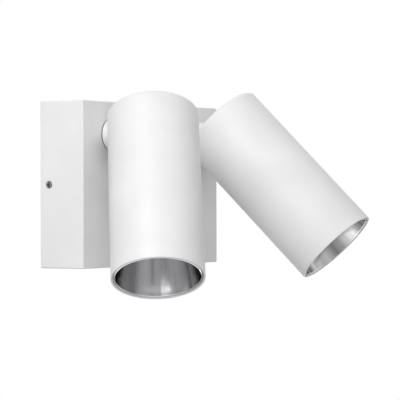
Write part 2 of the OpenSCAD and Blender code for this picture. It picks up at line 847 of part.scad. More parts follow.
module yoke() {
    color(zinc_steel) difference() {
        union() {
            translate([-ear_out_x, -yoke_l / 2, yoke_floor_z]) cube([2 * ear_out_x, yoke_l, yoke_t]);
            for (side = side_signs)
                translate([side * (ear_in_x + yoke_t / 2), 0, 0]) {
                    translate([-yoke_t / 2, -yoke_ear_w / 2, yoke_floor_z])
                        cube([yoke_t, yoke_ear_w, -yoke_floor_z]);
                    translate([-yoke_t / 2, 0, 0]) to_side(1) cylinder(d = yoke_ear_w, h = yoke_t);
                }
        }
        translate([-ear_out_x - cut, 0, 0])
            to_side(1) cylinder(d = pivot_d + 2 * running_gap, h = 2 * (ear_out_x + cut));
        translate([0, 0, yoke_floor_z - cut]) cylinder(d = arm_bore_d, h = yoke_t + 2 * cut);
        yoke_screw_places()
            translate([0, 0, yoke_floor_z - cut]) cylinder(d = screw_d + 2 * fit_gap, h = yoke_t + 2 * cut);
    }
}

module yoke_screw_places() {
    for (side = side_signs)
        translate([0, side * yoke_screw_spacing / 2, 0]) children();
}

module yoke_screws() {
    color(bright_steel)
        yoke_screw_places()
            translate([0, 0, -yoke_drop])
                pan_screw(screw_d, yoke_t + sink_thread_l - cut, screw_head_d, screw_head_h);
}

// Core, plate, fins all round and the block for the tube screw, which takes the place of three fins
module heat_sink() {
    color("lightsteelblue") difference() {
        translate([0, 0, sink_end_z]) {
            cylinder(d = sink_core_d, h = sink_l);
            cylinder(r = sink_r, h = sink_plate_t);
            intersection() {
                cylinder(r = sink_r, h = sink_l);
                union() {
                    for (fin = [2:fin_count - 2])
                        rotate([0, 0, 90 + fin * 360 / fin_count])
                            translate([0, -fin_t / 2, 0]) cube([sink_r + cut, fin_t, sink_l]);
                    translate([-sink_block_w / 2, 0, 0]) cube([sink_block_w, sink_r + cut, sink_l]);
                }
            }
        }
        translate([0, 0, sink_end_z - cut]) cylinder(d = arm_bore_d, h = sink_l + 2 * cut);
        yoke_screw_places()
            translate([0, 0, yoke_floor_z - sink_thread_l])
                cylinder(d = screw_d + 2 * fit_gap, h = sink_thread_l + cut);
        holder_screw_places()
            translate([0, 0, sink_end_z - cut])
                cylinder(d = screw_d + 2 * fit_gap, h = sink_plate_t + 2 * cut);
        translate([0, sink_r - tube_screw_l, tube_screw_z])
            to_wall() cylinder(d = screw_d + 2 * fit_gap, h = head_d);
    }
}

module tube_screw() {
    color(bright_steel)
        translate([0, head_d / 2 - spot_face_in, tube_screw_z])
            to_wall() pan_screw(screw_d, tube_screw_l, screw_head_d, screw_head_h);
}

module thermal_pad() {
    color("gray") difference() {
        translate([0, 0, board_back_z]) cylinder(d = led_board_d, h = thermal_pad_t);
        translate([0, 0, board_back_z - cut]) cylinder(d = arm_bore_d, h = thermal_pad_t + 2 * cut);
    }
}

module led_board() {
    color("white") translate([0, 0, board_face_z]) cylinder(d = led_board_d, h = led_board_t);
}

module led_chip() {
    color("khaki")
        translate([0, 0, board_face_z - led_chip_h]) cylinder(d = led_chip_d, h = led_chip_h);
}

module holder_screw_places() {
    for (side = side_signs)
        translate([side * holder_screw_spacing / 2, 0, 0]) children();
}

module led_holder() {
    color("white") difference() {
        translate([0, 0, holder_face_z]) cylinder(d = led_holder_d, h = sink_end_z - holder_face_z);
        translate([0, 0, board_face_z]) cylinder(d = led_board_d + 2 * fit_gap, h = sink_l);
        translate([0, 0, holder_face_z - cut]) cylinder(d = led_holder_open_d, h = led_holder_h + 2 * cut);
        holder_screw_places()
            translate([0, 0, holder_face_z - cut])
                cylinder(d = screw_d + 2 * fit_gap, h = sink_end_z - holder_face_z + 2 * cut);
    }
}

module holder_screws() {
    thread_l = sink_end_z - holder_face_z + sink_plate_t;
    color(bright_steel)
        holder_screw_places()
            translate([0, 0, holder_face_z])
                mirror([0, 0, 1]) pan_screw(screw_d, thread_l, holder_screw_head_d, screw_head_h);
}

// Point of the reflector's parabola at share t of the way from its neck to its mouth,
// moved out from the curve by the wall w
function reflector_point(t, w) =
    let (wide = reflector_mouth_r - reflector_neck_d / 2,
         out = [2 * t * reflector_l, wide],
         unit = out / norm(out))
    [reflector_neck_d / 2 + wide * t, reflector_top_z - reflector_l * pow(t, 2)] + w * unit;

module reflector() {
    inner = [for (i = [0:reflector_steps]) reflector_point(i / reflector_steps, 0)];
    outer = [for (i = [reflector_steps:-1:0]) reflector_point(i / reflector_steps, reflector_t)];
    color("gainsboro") rotate_extrude() {
        polygon(concat(inner, outer));
        translate([reflector_mouth_r, lip_z]) square([reflector_t, lip_t]);
    }
}

module head_lead() {
    color("white")
        translate([0, 0, board_back_z]) cylinder(d = lead_d, h = -board_back_z - lead_pivot_gap);
}

module left_base_lead() { base_lead(-1); }
module right_base_lead() { base_lead(1); }
module left_swivel_arm() { at_arm(-1) swivel_arm(); }
module right_swivel_arm() { at_arm(1) swivel_arm(); }
module left_friction_washer() { at_arm(-1) friction_washer(); }
module right_friction_washer() { at_arm(1) friction_washer(); }
module left_disc_spring() { at_arm(-1) disc_spring(); }
module right_disc_spring() { at_arm(1) disc_spring(); }
module left_stop_washer() { at_arm(-1) stop_washer(); }
module right_stop_washer() { at_arm(1) stop_washer(); }
module left_swivel_nut() { at_arm(-1) swivel_nut(); }
module right_swivel_nut() { at_arm(1) swivel_nut(); }
module left_pivot_screws() { at_arm(-1) pivot_screws(); }
module right_pivot_screws() { at_arm(1) pivot_screws(); }
module left_pivot_washers() { at_arm(-1) pivot_washers(); }
module right_pivot_washers() { at_arm(1) pivot_washers(); }
module left_arm_lead() { at_arm(-1) arm_lead(); }
module right_arm_lead() { at_arm(1) arm_lead(); }
module left_head_tube() { at_head(-1) head_tube(); }
module right_head_tube() { at_head(1) head_tube(); }
module left_yoke() { at_head(-1) yoke(); }
module right_yoke() { at_head(1) yoke(); }
module left_yoke_screws() { at_head(-1) yoke_screws(); }
module right_yoke_screws() { at_head(1) yoke_screws(); }
module left_heat_sink() { at_head(-1) heat_sink(); }
module right_heat_sink() { at_head(1) heat_sink(); }
module left_tube_screw() { at_head(-1) tube_screw(); }
module right_tube_screw() { at_head(1) tube_screw(); }
module left_thermal_pad() { at_head(-1) thermal_pad(); }
module right_thermal_pad() { at_head(1) thermal_pad(); }
module left_led_board() { at_head(-1) led_board(); }
module right_led_board() { at_head(1) led_board(); }
module left_led_chip() { at_head(-1) led_chip(); }
module right_led_chip() { at_head(1) led_chip(); }
module left_led_holder() { at_head(-1) led_holder(); }
module right_led_holder() { at_head(1) led_holder(); }
module left_holder_screws() { at_head(-1) holder_screws(); }
module right_holder_screws() { at_head(1) holder_screws(); }
module left_reflector() { at_head(-1) reflector(); }
module right_reflector() { at_head(1) reflector(); }
module left_head_lead() { at_head(-1) head_lead(); }
module right_head_lead() { at_head(1) head_lead(); }

wall_plate();
base_cover();
cover_screws();
cable_grommet();
terminal_block();
terminal_clamps();
terminal_screws();
terminal_fixing_screws();
earth_tag();
earth_screw();
earth_lead();
driver_case();
driver_lid();
driver_board();
driver_screws();
driver_input_leads();
left_base_lead();
right_base_lead();
left_swivel_arm();
left_friction_washer();
left_disc_spring();
left_stop_washer();
left_swivel_nut();
left_pivot_screws();
left_pivot_washers();
left_arm_lead();
right_swivel_arm();
right_friction_washer();
right_disc_spring();
right_stop_washer();
right_swivel_nut();
right_pivot_screws();
right_pivot_washers();
right_arm_lead();
left_head_tube();
left_yoke();
left_yoke_screws();
left_heat_sink();
left_tube_screw();
left_thermal_pad();
left_led_board();
left_led_chip();
left_led_holder();
left_holder_screws();
left_reflector();
left_head_lead();
right_head_tube();
right_yoke();
right_yoke_screws();
right_heat_sink();
right_tube_screw();
right_thermal_pad();
right_led_board();
right_led_chip();
right_led_holder();
right_holder_screws();
right_reflector();
right_head_lead();
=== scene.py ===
# %% [markdown]
# A twin spotlight for a wall: a white box-shaped base, two short arms that swivel in its front, and a tube
# head that tilts on each arm. The CAD model already has every solid at its real size and place. This lesson
# dresses it: the pieces that show are modelled again with the small rounds and recesses that catch light, and
# every piece gets the finish of its real material.

# %% Load the CAD frame
import json
import math

import bmesh
import bpy
from mathutils import Matrix, Vector


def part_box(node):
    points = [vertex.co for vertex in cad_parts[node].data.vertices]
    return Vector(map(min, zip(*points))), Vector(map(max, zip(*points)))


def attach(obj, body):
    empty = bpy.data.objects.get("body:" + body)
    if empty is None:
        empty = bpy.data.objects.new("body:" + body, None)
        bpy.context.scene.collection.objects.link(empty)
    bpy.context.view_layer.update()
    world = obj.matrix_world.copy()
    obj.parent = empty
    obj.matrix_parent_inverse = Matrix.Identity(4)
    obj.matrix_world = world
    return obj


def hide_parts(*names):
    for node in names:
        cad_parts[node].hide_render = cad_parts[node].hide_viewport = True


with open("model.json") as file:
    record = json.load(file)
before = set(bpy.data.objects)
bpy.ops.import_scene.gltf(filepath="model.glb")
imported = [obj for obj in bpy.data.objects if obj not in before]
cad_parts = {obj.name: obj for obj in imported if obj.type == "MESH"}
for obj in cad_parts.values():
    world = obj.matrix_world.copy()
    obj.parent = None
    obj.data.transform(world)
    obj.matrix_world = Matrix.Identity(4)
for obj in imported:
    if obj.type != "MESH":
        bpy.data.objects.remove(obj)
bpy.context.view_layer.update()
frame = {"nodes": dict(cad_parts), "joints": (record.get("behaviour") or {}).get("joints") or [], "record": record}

MM = 0.001

# %% [markdown]
# The camera comes first, because everything is judged through it. The photograph was taken from about 1.3 m away
# with a long lens, from the left and in front, a little below the middle of the base. A long lens keeps
# parallel edges nearly parallel. In Blender a camera looks down its own -Z axis, so its matrix is made from the
# directions right, up and back.

# %% Camera
yaw, pitch, roll = math.radians(57.74), math.radians(-0.105), math.radians(-0.142)
ahead = Vector((math.sin(yaw) * math.cos(pitch), math.cos(yaw) * math.cos(pitch), math.sin(pitch)))
level = Vector((math.cos(yaw), -math.sin(yaw), 0))
above = level.cross(ahead)
right = level * math.cos(roll) + above * math.sin(roll)
up = above * math.cos(roll) - level * math.sin(roll)

camera = bpy.data.objects.new("camera", bpy.data.cameras.new("camera"))
bpy.context.scene.collection.objects.link(camera)
camera.data.lens, camera.data.sensor_width = 187.63, 36
camera.data.clip_start, camera.data.clip_end = 0.05, 50
EYE = Vector((-1079.42, -747.13, -7.1)) * MM
camera.matrix_world = Matrix.Translation(EYE) @ Matrix((right, up, -ahead)).transposed().to_4x4()
bpy.context.scene.camera = camera
print("camera looks along", [round(v, 3) for v in ahead])

# %% [markdown]
# A studio for a white product: plain light from all round, and two large soft lamps on the left that model the
# round heads. A third lamp behind lights the sides that the camera doesn't see. Polished bowls mirror the studio,
# so the front and back lamps stay out of mirrors, and a small white card low on the right shows in mirrors only.
# The world is white where the camera sees it, and also where metal mirrors it, but it lights the object at a
# plain level, so that white paint keeps its shades.

# %% World and view
scene = bpy.context.scene
scene.view_settings.view_transform = "Standard"
world = bpy.data.worlds.new("studio")
scene.world = world
world.use_nodes = True
sky = world.node_tree
sky.nodes.clear()


def add_node(tree, kind, inputs=None, **settings):
    """Adds one node. Inputs are values or the sockets that feed it, and settings are its own options."""
    new = tree.nodes.new(kind)
    for name, value in settings.items():
        setattr(new, name, value)
    for name, value in (inputs or {}).items():
        if isinstance(value, bpy.types.NodeSocket):
            tree.links.new(value, new.inputs[name])
        else:
            new.inputs[name].default_value = value
    return new


def white_to_the_eye(tree):
    """The share of a surface that shows plain white: for rays from the camera, and through mirrors and glass."""
    rays = add_node(tree, "ShaderNodeLightPath")
    mirror = add_node(tree, "ShaderNodeMath", {0: rays.outputs["Is Camera Ray"], 1: rays.outputs["Is Glossy Ray"]},
                      operation="MAXIMUM")
    return add_node(tree, "ShaderNodeMath", {0: mirror.outputs[0], 1: rays.outputs["Is Transmission Ray"]},
                    operation="MAXIMUM").outputs[0]


ROOM_LIGHT = 0.42
strength = add_node(sky, "ShaderNodeMapRange", {0: white_to_the_eye(sky), 3: ROOM_LIGHT, 4: 1.0})
background = add_node(sky, "ShaderNodeBackground", {"Color": (1, 1, 1, 1), "Strength": strength.outputs[0]})
add_node(sky, "ShaderNodeOutputWorld", {"Surface": background.outputs[0]})
print("room light", ROOM_LIGHT)

# %% Lamps
def add_lamp(name, middle, aim, size, watts, long_axis=(0, 0, 1)):
    """A flat lamp in the middle given, in metres, that shines at a point."""
    lamp = bpy.data.objects.new(name, bpy.data.lights.new(name, "AREA"))
    scene.collection.objects.link(lamp)
    lamp.data.shape = "RECTANGLE"
    lamp.data.size_y, lamp.data.size = size
    lamp.data.energy = watts
    away = (Vector(middle) - Vector(aim)).normalized()
    across = Vector(long_axis).cross(away).normalized()
    turn = Matrix((across, away.cross(across), away)).transposed().to_4x4()
    lamp.matrix_world = Matrix.Translation(Vector(middle)) @ turn
    print(name, "stands at", [round(v, 2) for v in middle])
    return lamp


WALL_POINT, SOFTBOX = (0, 0, 0), (1.3, 1.3)
LEFT_MOUTH, CARD_SIZE = (-0.078, -0.086, -0.04), (0.4, 0.09)
add_lamp("key_lamp", (-1.5, -0.15, 1.31), WALL_POINT, SOFTBOX, 15.2)
front = add_lamp("front_lamp", (-1.62, -0.95, 0.55), WALL_POINT, SOFTBOX, 11.5)
back = add_lamp("back_lamp", (1.65, 0.9, 0.7), WALL_POINT, SOFTBOX, 13)
front.visible_glossy = back.visible_glossy = False
card = add_lamp("card", (0.273, -0.2, -0.297), LEFT_MOUTH, CARD_SIZE, 0.18, long_axis=(-0.05, -0.9, 0.3))
card.visible_camera = card.visible_diffuse = False

# %% [markdown]
# The floor is pale and plain and lies well below the light, out of the photograph's frame. It fades to the
# white of the room at its edge, it lets a camera below it look through, and it keeps the object's shadow.

# %% Floor
FLOOR_Z, FLOOR_R, FADE_FROM = -0.42, 1.0, 0.35
FLOOR_GREY, FLOOR_GLOW = 0.46, 0.58
bpy.ops.object.select_all(action="DESELECT")
bpy.ops.mesh.primitive_circle_add(vertices=96, radius=FLOOR_R, fill_type="NGON", location=(0, 0, FLOOR_Z))
floor = bpy.context.object
floor.name = "floor"
floor.data.materials.append(bpy.data.materials.new("pale floor"))
floor.data.materials[0].use_nodes = True
tree = floor.data.materials[0].node_tree
tree.nodes.clear()
place = add_node(tree, "ShaderNodeTexCoord").outputs["Object"]
distance = add_node(tree, "ShaderNodeVectorMath", {0: place}, operation="LENGTH").outputs["Value"]
fade = add_node(tree, "ShaderNodeMapRange", {0: distance, 1: FADE_FROM, 2: FLOOR_R * 0.97},
                interpolation_type="SMOOTHSTEP")
below = add_node(tree, "ShaderNodeNewGeometry").outputs["Backfacing"]
clear = add_node(tree, "ShaderNodeMath", {0: fade.outputs[0], 1: below}, operation="MAXIMUM")
matt = add_node(tree, "ShaderNodeBsdfDiffuse", {"Color": (FLOOR_GREY, FLOOR_GREY, FLOOR_GREY, 1)})
glow = add_node(tree, "ShaderNodeEmission", {"Color": (1, 1, 1, 1), "Strength": FLOOR_GLOW})
nothing = add_node(tree, "ShaderNodeEmission", {"Strength": 0.0})
lifted = add_node(tree, "ShaderNodeMixShader",
                  {0: white_to_the_eye(tree), 1: nothing.outputs[0], 2: glow.outputs[0]})
lit = add_node(tree, "ShaderNodeAddShader", {0: matt.outputs[0], 1: lifted.outputs[0]})
through = add_node(tree, "ShaderNodeBsdfTransparent")
seen = add_node(tree, "ShaderNodeMixShader", {0: clear.outputs[0], 1: lit.outputs[0], 2: through.outputs[0]})
add_node(tree, "ShaderNodeOutputMaterial", {"Surface": seen.outputs[0]})
print("floor at", FLOOR_Z, "m")

# %% [markdown]
# Finishes. Each material starts with its colour, how metallic it is and how rough. What makes it read as a real
# surface is small: the slight grain of powder paint, the cloudy patches of zinc plating, the fine matt of
# moulded plastic. The patterns read Object coordinates, which are metres on the real part, so a pattern's scale
# is one over the size of its grain in metres.


# %% Helpers for finishes
def hex_colour(text):
    """An sRGB colour such as C0FFEE as the linear colour that the shader works with."""
    parts = [int(text[i:i + 2], 16) / 255 for i in (0, 2, 4)]
    return (*[p / 12.92 if p <= 0.04045 else ((p + 0.055) / 1.055) ** 2.4 for p in parts], 1)


def new_finish(name, colour, roughness, metallic=0.0, ior=1.5):
    """A material with its shader, and the place on the piece that its patterns read."""
    material = bpy.data.materials.new(name)
    material.use_nodes = True
    tree = material.node_tree
    tree.nodes.clear()
    base = {"Base Color": hex_colour(colour), "Roughness": roughness, "Metallic": metallic}
    if not metallic:
        base["IOR"] = ior
    shader = add_node(tree, "ShaderNodeBsdfPrincipled", base)
    add_node(tree, "ShaderNodeOutputMaterial", {"Surface": shader.outputs[0]})
    return material, tree, shader, add_node(tree, "ShaderNodeTexCoord").outputs["Object"]


def grain(tree, place, size_mm, detail=3.0, stretch=(1, 1, 1)):
    """A cloudy value from 0 to 1 whose patches are about size_mm across, longer where stretch is small."""
    scaled = add_node(tree, "ShaderNodeMapping", {"Vector": place, "Scale": stretch}).outputs[0]
    return add_node(tree, "ShaderNodeTexNoise", {"Vector": scaled, "Scale": 1 / (size_mm * MM), "Detail": detail,
                                                 "Roughness": 0.5}).outputs["Fac"]


def vary_colour(tree, shader, value, dark, light, low=0.35, high=0.65):
    """Mixes two colours by a value and feeds them to the shader."""
    share = add_node(tree, "ShaderNodeMapRange", {0: value, 1: low, 2: high}).outputs[0]
    mixed = add_node(tree, "ShaderNodeMix", {0: share, 6: hex_colour(dark), 7: hex_colour(light)}, data_type="RGBA")
    tree.links.new(mixed.outputs[2], shader.inputs["Base Color"])


def vary_roughness(tree, shader, value, low, high):
    share = add_node(tree, "ShaderNodeMapRange", {0: value, 1: 0.3, 2: 0.7, 3: low, 4: high}).outputs[0]
    tree.links.new(share, shader.inputs["Roughness"])


def bump(tree, shader, value, depth_mm, strength=1.0):
    raised = add_node(tree, "ShaderNodeBump", {"Height": value, "Distance": depth_mm * MM, "Strength": strength})
    tree.links.new(raised.outputs[0], shader.inputs["Normal"])


finishes = {}
print("helpers ready")

# %% [markdown]
# White powder coat: a dry polyester paint, sprayed on and baked. It flows into a smooth satin skin with a very
# slight orange peel. A real one has waves of about 1 mm and a few micrometres high, and they only soften the
# gloss. Polyester's IOR is 1.5.

# %% White powder coat
material, tree, shader, place = new_finish("white polyester powder coat", "F1F1F1", 0.42)
peel = grain(tree, place, 1.1, detail=2.0)
vary_colour(tree, shader, grain(tree, place, 28, detail=2.0), "EEEEEE", "F3F3F3")
vary_roughness(tree, shader, grain(tree, place, 6), 0.38, 0.47)
bump(tree, shader, peel, 0.012, 0.6)
finishes["powder_white"] = material
print(material.name)

# %% [markdown]
# Metals of the fittings. Zinc plating is a bright grey with faint bluish clouds. Nickel-plated screws are
# smoother and a little warmer. Brass is yellow and dulls in patches. A metal keeps the shader's own IOR, and its
# colour is the colour of its mirror.

# %% Zinc, nickel, brass and aluminium
material, tree, shader, place = new_finish("bright zinc plating", "C3C7CB", 0.34, metallic=1.0)
vary_colour(tree, shader, grain(tree, place, 9, detail=3.0), "BDC1C5", "C9CCCE")
vary_roughness(tree, shader, grain(tree, place, 2.5), 0.3, 0.4)
bump(tree, shader, grain(tree, place, 0.8), 0.004, 0.5)
finishes["zinc_steel"] = material

material, tree, shader, place = new_finish("nickel-plated steel", "8A8884", 0.24, metallic=1.0)
vary_colour(tree, shader, grain(tree, place, 3), "7E7B78", "9A9792")
vary_roughness(tree, shader, grain(tree, place, 0.9), 0.18, 0.3)
bump(tree, shader, grain(tree, place, 0.3), 0.002, 0.4)
finishes["bright_steel"] = material

material, tree, shader, place = new_finish("turned brass", "D2AE5E", 0.3, metallic=1.0)
vary_colour(tree, shader, grain(tree, place, 3, detail=4.0), "B8914A", "DDBC72")
vary_roughness(tree, shader, grain(tree, place, 1.2), 0.22, 0.4)
bump(tree, shader, grain(tree, place, 0.5, stretch=(0.1, 1, 1)), 0.004, 0.5)
finishes["brass"] = material

material, tree, shader, place = new_finish("die-cast aluminium", "B9BCBF", 0.48, metallic=1.0)
vary_colour(tree, shader, grain(tree, place, 9, detail=5.0), "A6AAAE", "C6C8CA")
vary_roughness(tree, shader, grain(tree, place, 2), 0.4, 0.56)
bump(tree, shader, grain(tree, place, 0.6, detail=4.0), 0.02, 0.6)
finishes["raw_aluminium"] = material
print("metals:", sorted(finishes))

# %% [markdown]
# Plastics, rubber and the parts of the lamp itself. Moulded plastic copies the spark-eroded grain of its mould,
# a few hundredths of a millimetre deep. Rubber is darker and duller. The light source is a yellow
# phosphor-filled silicone on a white board.

# %% Plastics and rubber
material, tree, shader, place = new_finish("black moulded rubber", "1C1C1D", 0.72, ior=1.52)
vary_colour(tree, shader, grain(tree, place, 4), "161617", "262627")
bump(tree, shader, grain(tree, place, 0.5, detail=4.0), 0.03, 0.7)
finishes["black_rubber"] = material

material, tree, shader, place = new_finish("black nylon", "1F2022", 0.5, ior=1.53)
vary_colour(tree, shader, grain(tree, place, 5), "191A1B", "27282A")
bump(tree, shader, grain(tree, place, 0.4), 0.01, 0.6)
finishes["black_nylon"] = material

material, tree, shader, place = new_finish("grained dark polycarbonate", "3B3D40", 0.5, ior=1.58)
vary_colour(tree, shader, grain(tree, place, 12), "36383B", "404245")
vary_roughness(tree, shader, grain(tree, place, 1.5), 0.44, 0.58)
bump(tree, shader, grain(tree, place, 0.35, detail=4.0), 0.03, 0.8)
finishes["dark_plastic"] = material

material, tree, shader, place = new_finish("ivory polyamide", "E6DFC8", 0.48, ior=1.53)
vary_colour(tree, shader, grain(tree, place, 6), "E0D8BE", "ECE6D2")
shader.inputs["Subsurface Weight"].default_value = 0.15
shader.inputs["Subsurface Radius"].default_value = (1.0, 0.8, 0.5)
shader.inputs["Subsurface Scale"].default_value = 0.001
bump(tree, shader, grain(tree, place, 0.4), 0.01, 0.6)
finishes["ivory_plastic"] = material

material, tree, shader, place = new_finish("white heat-proof polyester plastic", "F2F1EC", 0.4, ior=1.55)
vary_colour(tree, shader, grain(tree, place, 8), "EDECE6", "F5F4F0")
vary_roughness(tree, shader, grain(tree, place, 1.2), 0.34, 0.46)
bump(tree, shader, grain(tree, place, 0.5), 0.008, 0.5)
finishes["white_plastic"] = material
print("plastics:", len(finishes), "finishes so far")

# %% [markdown]
# Wires. Live is brown and neutral is blue, so that one node with both wires takes its colour from the side it
# lies on. The earth wire is green with a yellow stripe, drawn as slanting bands because the wire turns three
# corners. The leads to the heads are plain white cable.

# %% Wires
material, tree, shader, place = new_finish("brown and blue wire", "6B3F22", 0.42)
side_x = add_node(tree, "ShaderNodeSeparateXYZ", {0: place}).outputs["X"]
share = add_node(tree, "ShaderNodeMapRange", {0: side_x, 1: -6 * MM, 2: -4 * MM}).outputs[0]
wires = add_node(tree, "ShaderNodeMix", {0: share, 6: hex_colour("6B3F22"), 7: hex_colour("2B5C9E")},
                 data_type="RGBA")
tree.links.new(wires.outputs[2], shader.inputs["Base Color"])
bump(tree, shader, grain(tree, place, 1.0), 0.01, 0.4)
finishes["mains_wire"] = material

material, tree, shader, place = new_finish("green and yellow wire", "3F8F3A", 0.42)
bands = add_node(tree, "ShaderNodeTexWave", {"Vector": place, "Scale": 1 / (12 * MM), "Distortion": 0.0},
                 wave_type="BANDS", bands_direction="DIAGONAL")
vary_colour(tree, shader, bands.outputs["Fac"], "3F8F3A", "E8D23A", 0.55, 0.6)
bump(tree, shader, grain(tree, place, 1.0), 0.01, 0.4)
finishes["earth_wire"] = material

material, tree, shader, place = new_finish("white cable sheath", "E4E4E1", 0.45)
vary_colour(tree, shader, grain(tree, place, 5), "DEDEDA", "E9E9E6")
bump(tree, shader, grain(tree, place, 1.2), 0.01, 0.4)
finishes["lead_wire"] = material
print("wires done")

# %% [markdown]
# Boards and the light source. The driver's board, its transformer, capacitors and connectors are one node, so
# their colour goes by the distance from the board: green lacquer on the board, then dark parts, whose tops are
# cream. The heads' boards are white lacquer on aluminium.

# %% Boards, pad and phosphor
material, tree, shader, place = new_finish("green circuit board with its parts", "2F6B47", 0.4, ior=1.55)
out_y = add_node(tree, "ShaderNodeSeparateXYZ", {0: place}).outputs["Y"]
on_board = add_node(tree, "ShaderNodeMapRange", {0: out_y, 1: -20.5 * MM, 2: -20.2 * MM}).outputs[0]
parts = add_node(tree, "ShaderNodeMapRange", {0: out_y, 1: -12.6 * MM, 2: -12.2 * MM}).outputs[0]
upper = add_node(tree, "ShaderNodeMix", {0: parts, 6: hex_colour("2A2B2E"), 7: hex_colour("D9CFA8")},
                 data_type="RGBA")
board = add_node(tree, "ShaderNodeMix", {0: on_board, 6: hex_colour("2F6B47"), 7: upper.outputs[2]},
                 data_type="RGBA")
tree.links.new(board.outputs[2], shader.inputs["Base Color"])
bump(tree, shader, grain(tree, place, 1.5, detail=4.0), 0.03, 0.5)
finishes["circuit_board"] = material

material, tree, shader, place = new_finish("white board lacquer", "F0EFEA", 0.32, ior=1.5)
vary_colour(tree, shader, grain(tree, place, 6), "EBEAE4", "F3F2EE")
bump(tree, shader, grain(tree, place, 0.7), 0.006, 0.5)
finishes["white_board"] = material

material, tree, shader, place = new_finish("grey silicone pad", "8F959B", 0.62, ior=1.41)
vary_colour(tree, shader, grain(tree, place, 2), "858B91", "999FA5")
bump(tree, shader, grain(tree, place, 0.8), 0.02, 0.5)
finishes["thermal_pad"] = material

material, tree, shader, place = new_finish("yellow phosphor in silicone", "E9CB4E", 0.3, ior=1.41)
vary_colour(tree, shader, grain(tree, place, 0.5, detail=4.0), "E2BD3A", "EFD668")
shader.inputs["Subsurface Weight"].default_value = 0.35
shader.inputs["Subsurface Radius"].default_value = (1.0, 0.7, 0.2)
shader.inputs["Subsurface Scale"].default_value = 0.001
bump(tree, shader, grain(tree, place, 0.6), 0.01, 0.5)
finishes["phosphor"] = material
print("finishes:", len(finishes))

# %% [markdown]
# Every CAD node first takes the finish of its slot in the record. Those whose plain CAD shape is enough, mostly
# inside the base and the heads, keep it. The rest are replaced further down.

# %% Finishes on the CAD nodes
for part in frame["record"]["subparts"]:
    node = frame["nodes"][part["node"]]
    slot = part["material_slot"]
    if slot == "polished_aluminium":
        continue
    node.data.materials.clear()
    node.data.materials.append(finishes[slot])
print("dressed", len(frame["nodes"]), "nodes")

# %% [markdown]
# Now the modelling. Each piece starts as a primitive at its real size and is shaped in edit mode. The helpers
# below leave nothing selected by accident, select faces or edges by where they are, drill holes, and apply each
# modifier at once. All their sizes are in millimetres.


# %% Helpers for modelling
def begin():
    """Back to object mode with nothing selected, because an operator acts on all that is selected."""
    if bpy.context.object and bpy.context.object.mode == "EDIT":
        bpy.ops.object.mode_set(mode="OBJECT")
    bpy.ops.object.select_all(action="DESELECT")


def edit(piece):
    """Opens a piece in edit mode."""
    begin()
    piece.select_set(True)
    bpy.context.view_layer.objects.active = piece
    bpy.ops.object.mode_set(mode="EDIT")


def pick(kind, test):
    """Selects only the faces, edges or points that pass a test, and says how many there are."""
    bpy.ops.mesh.select_mode(type=kind)
    bpy.ops.mesh.select_all(action="DESELECT")
    mesh = bmesh.from_edit_mesh(bpy.context.object.data)
    chosen = [p for p in {"FACE": mesh.faces, "EDGE": mesh.edges, "VERT": mesh.verts}[kind] if test(p)]
    for part in chosen:
        part.select_set(True)
    mesh.select_flush_mode()
    bmesh.update_edit_mesh(bpy.context.object.data)
    return len(chosen)


def ends_pass(edge, test):
    """Whether both ends of an edge, in millimetres, pass a test."""
    return all(test(v.co / MM) for v in edge.verts)


def modify(piece, kind, **settings):
    """Adds one modifier and applies it."""
    begin()
    piece.select_set(True)
    bpy.context.view_layer.objects.active = piece
    modifier = piece.modifiers.new(kind.lower(), kind)
    for name, value in settings.items():
        setattr(modifier, name, value)
    bpy.ops.object.modifier_apply(modifier=modifier.name)


def rod(diameter, start, end, sides=64, end_diameter=None):
    """A round bar from one point to another, or a cone if its end has another diameter."""
    start, end = Vector(start) * MM, Vector(end) * MM
    along = end - start
    far = diameter if end_diameter is None else end_diameter
    begin()
    bpy.ops.mesh.primitive_cone_add(
        vertices=sides, radius1=diameter / 2 * MM, radius2=far / 2 * MM,
        depth=along.length, location=(start + end) / 2, rotation=along.to_track_quat("Z", "Y").to_euler())
    bpy.ops.object.transform_apply(location=True, rotation=True, scale=True)
    return bpy.context.object


def block(low, high):
    """A box between two corners."""
    low, high = Vector(low) * MM, Vector(high) * MM
    begin()
    bpy.ops.mesh.primitive_cube_add(size=1, location=(low + high) / 2, scale=high - low)
    bpy.ops.object.transform_apply(location=True, rotation=True, scale=True)
    return bpy.context.object


def cut(piece, *tools, operation="DIFFERENCE"):
    """Cuts each tool out of the piece, or joins it on, and throws the tool away."""
    for tool in tools:
        modify(piece, "BOOLEAN", object=tool, operation=operation, solver="EXACT")
        bpy.data.objects.remove(tool)


def finish_piece(piece, name, body, slot, *nodes, angle=35):
    """Gives a finished piece its name, smooth shading, finish and body, and lets it stand for its CAD nodes."""
    begin()
    piece.name = piece.data.name = name
    piece.select_set(True)
    bpy.context.view_layer.objects.active = piece
    bpy.ops.object.shade_smooth_by_angle(angle=math.radians(angle))
    if not piece.data.materials:
        piece.data.materials.append(finishes[slot])
    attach(piece, body)
    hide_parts(*nodes)
    low, high = (Vector(f(v.co[i] for v in piece.data.vertices) for i in range(3)) for f in (min, max))
    node_low = Vector(min(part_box(n)[0][i] for n in nodes) for i in range(3))
    node_high = Vector(max(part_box(n)[1][i] for n in nodes) for i in range(3))
    off = max(max(abs(a - b) for a, b in zip(low, node_low)), max(abs(a - b) for a, b in zip(high, node_high)))
    print(f"{name}: {len(piece.data.polygons)} faces, off the CAD box by {off / MM:.2f} mm")


print("tools ready")

# %% [markdown]
# Where the moving pieces stand. An arm is modelled about its pivot with the wall towards +Y, and a head about
# the same pivot with its mouth down. Each is then copied to the left and the right, with a mesh of its own, and
# turned to its pose in the photograph: the swing turns it about the arm, the tilt about the pivot.

# %% Places of the arms and heads
PIVOT_Y, ARM_Z, ARM_X = -62.5386, 30.0, 46.5
POSES = {"left": (-ARM_X, -23.8, 16.7), "right": (ARM_X, 12.1, 42.5)}


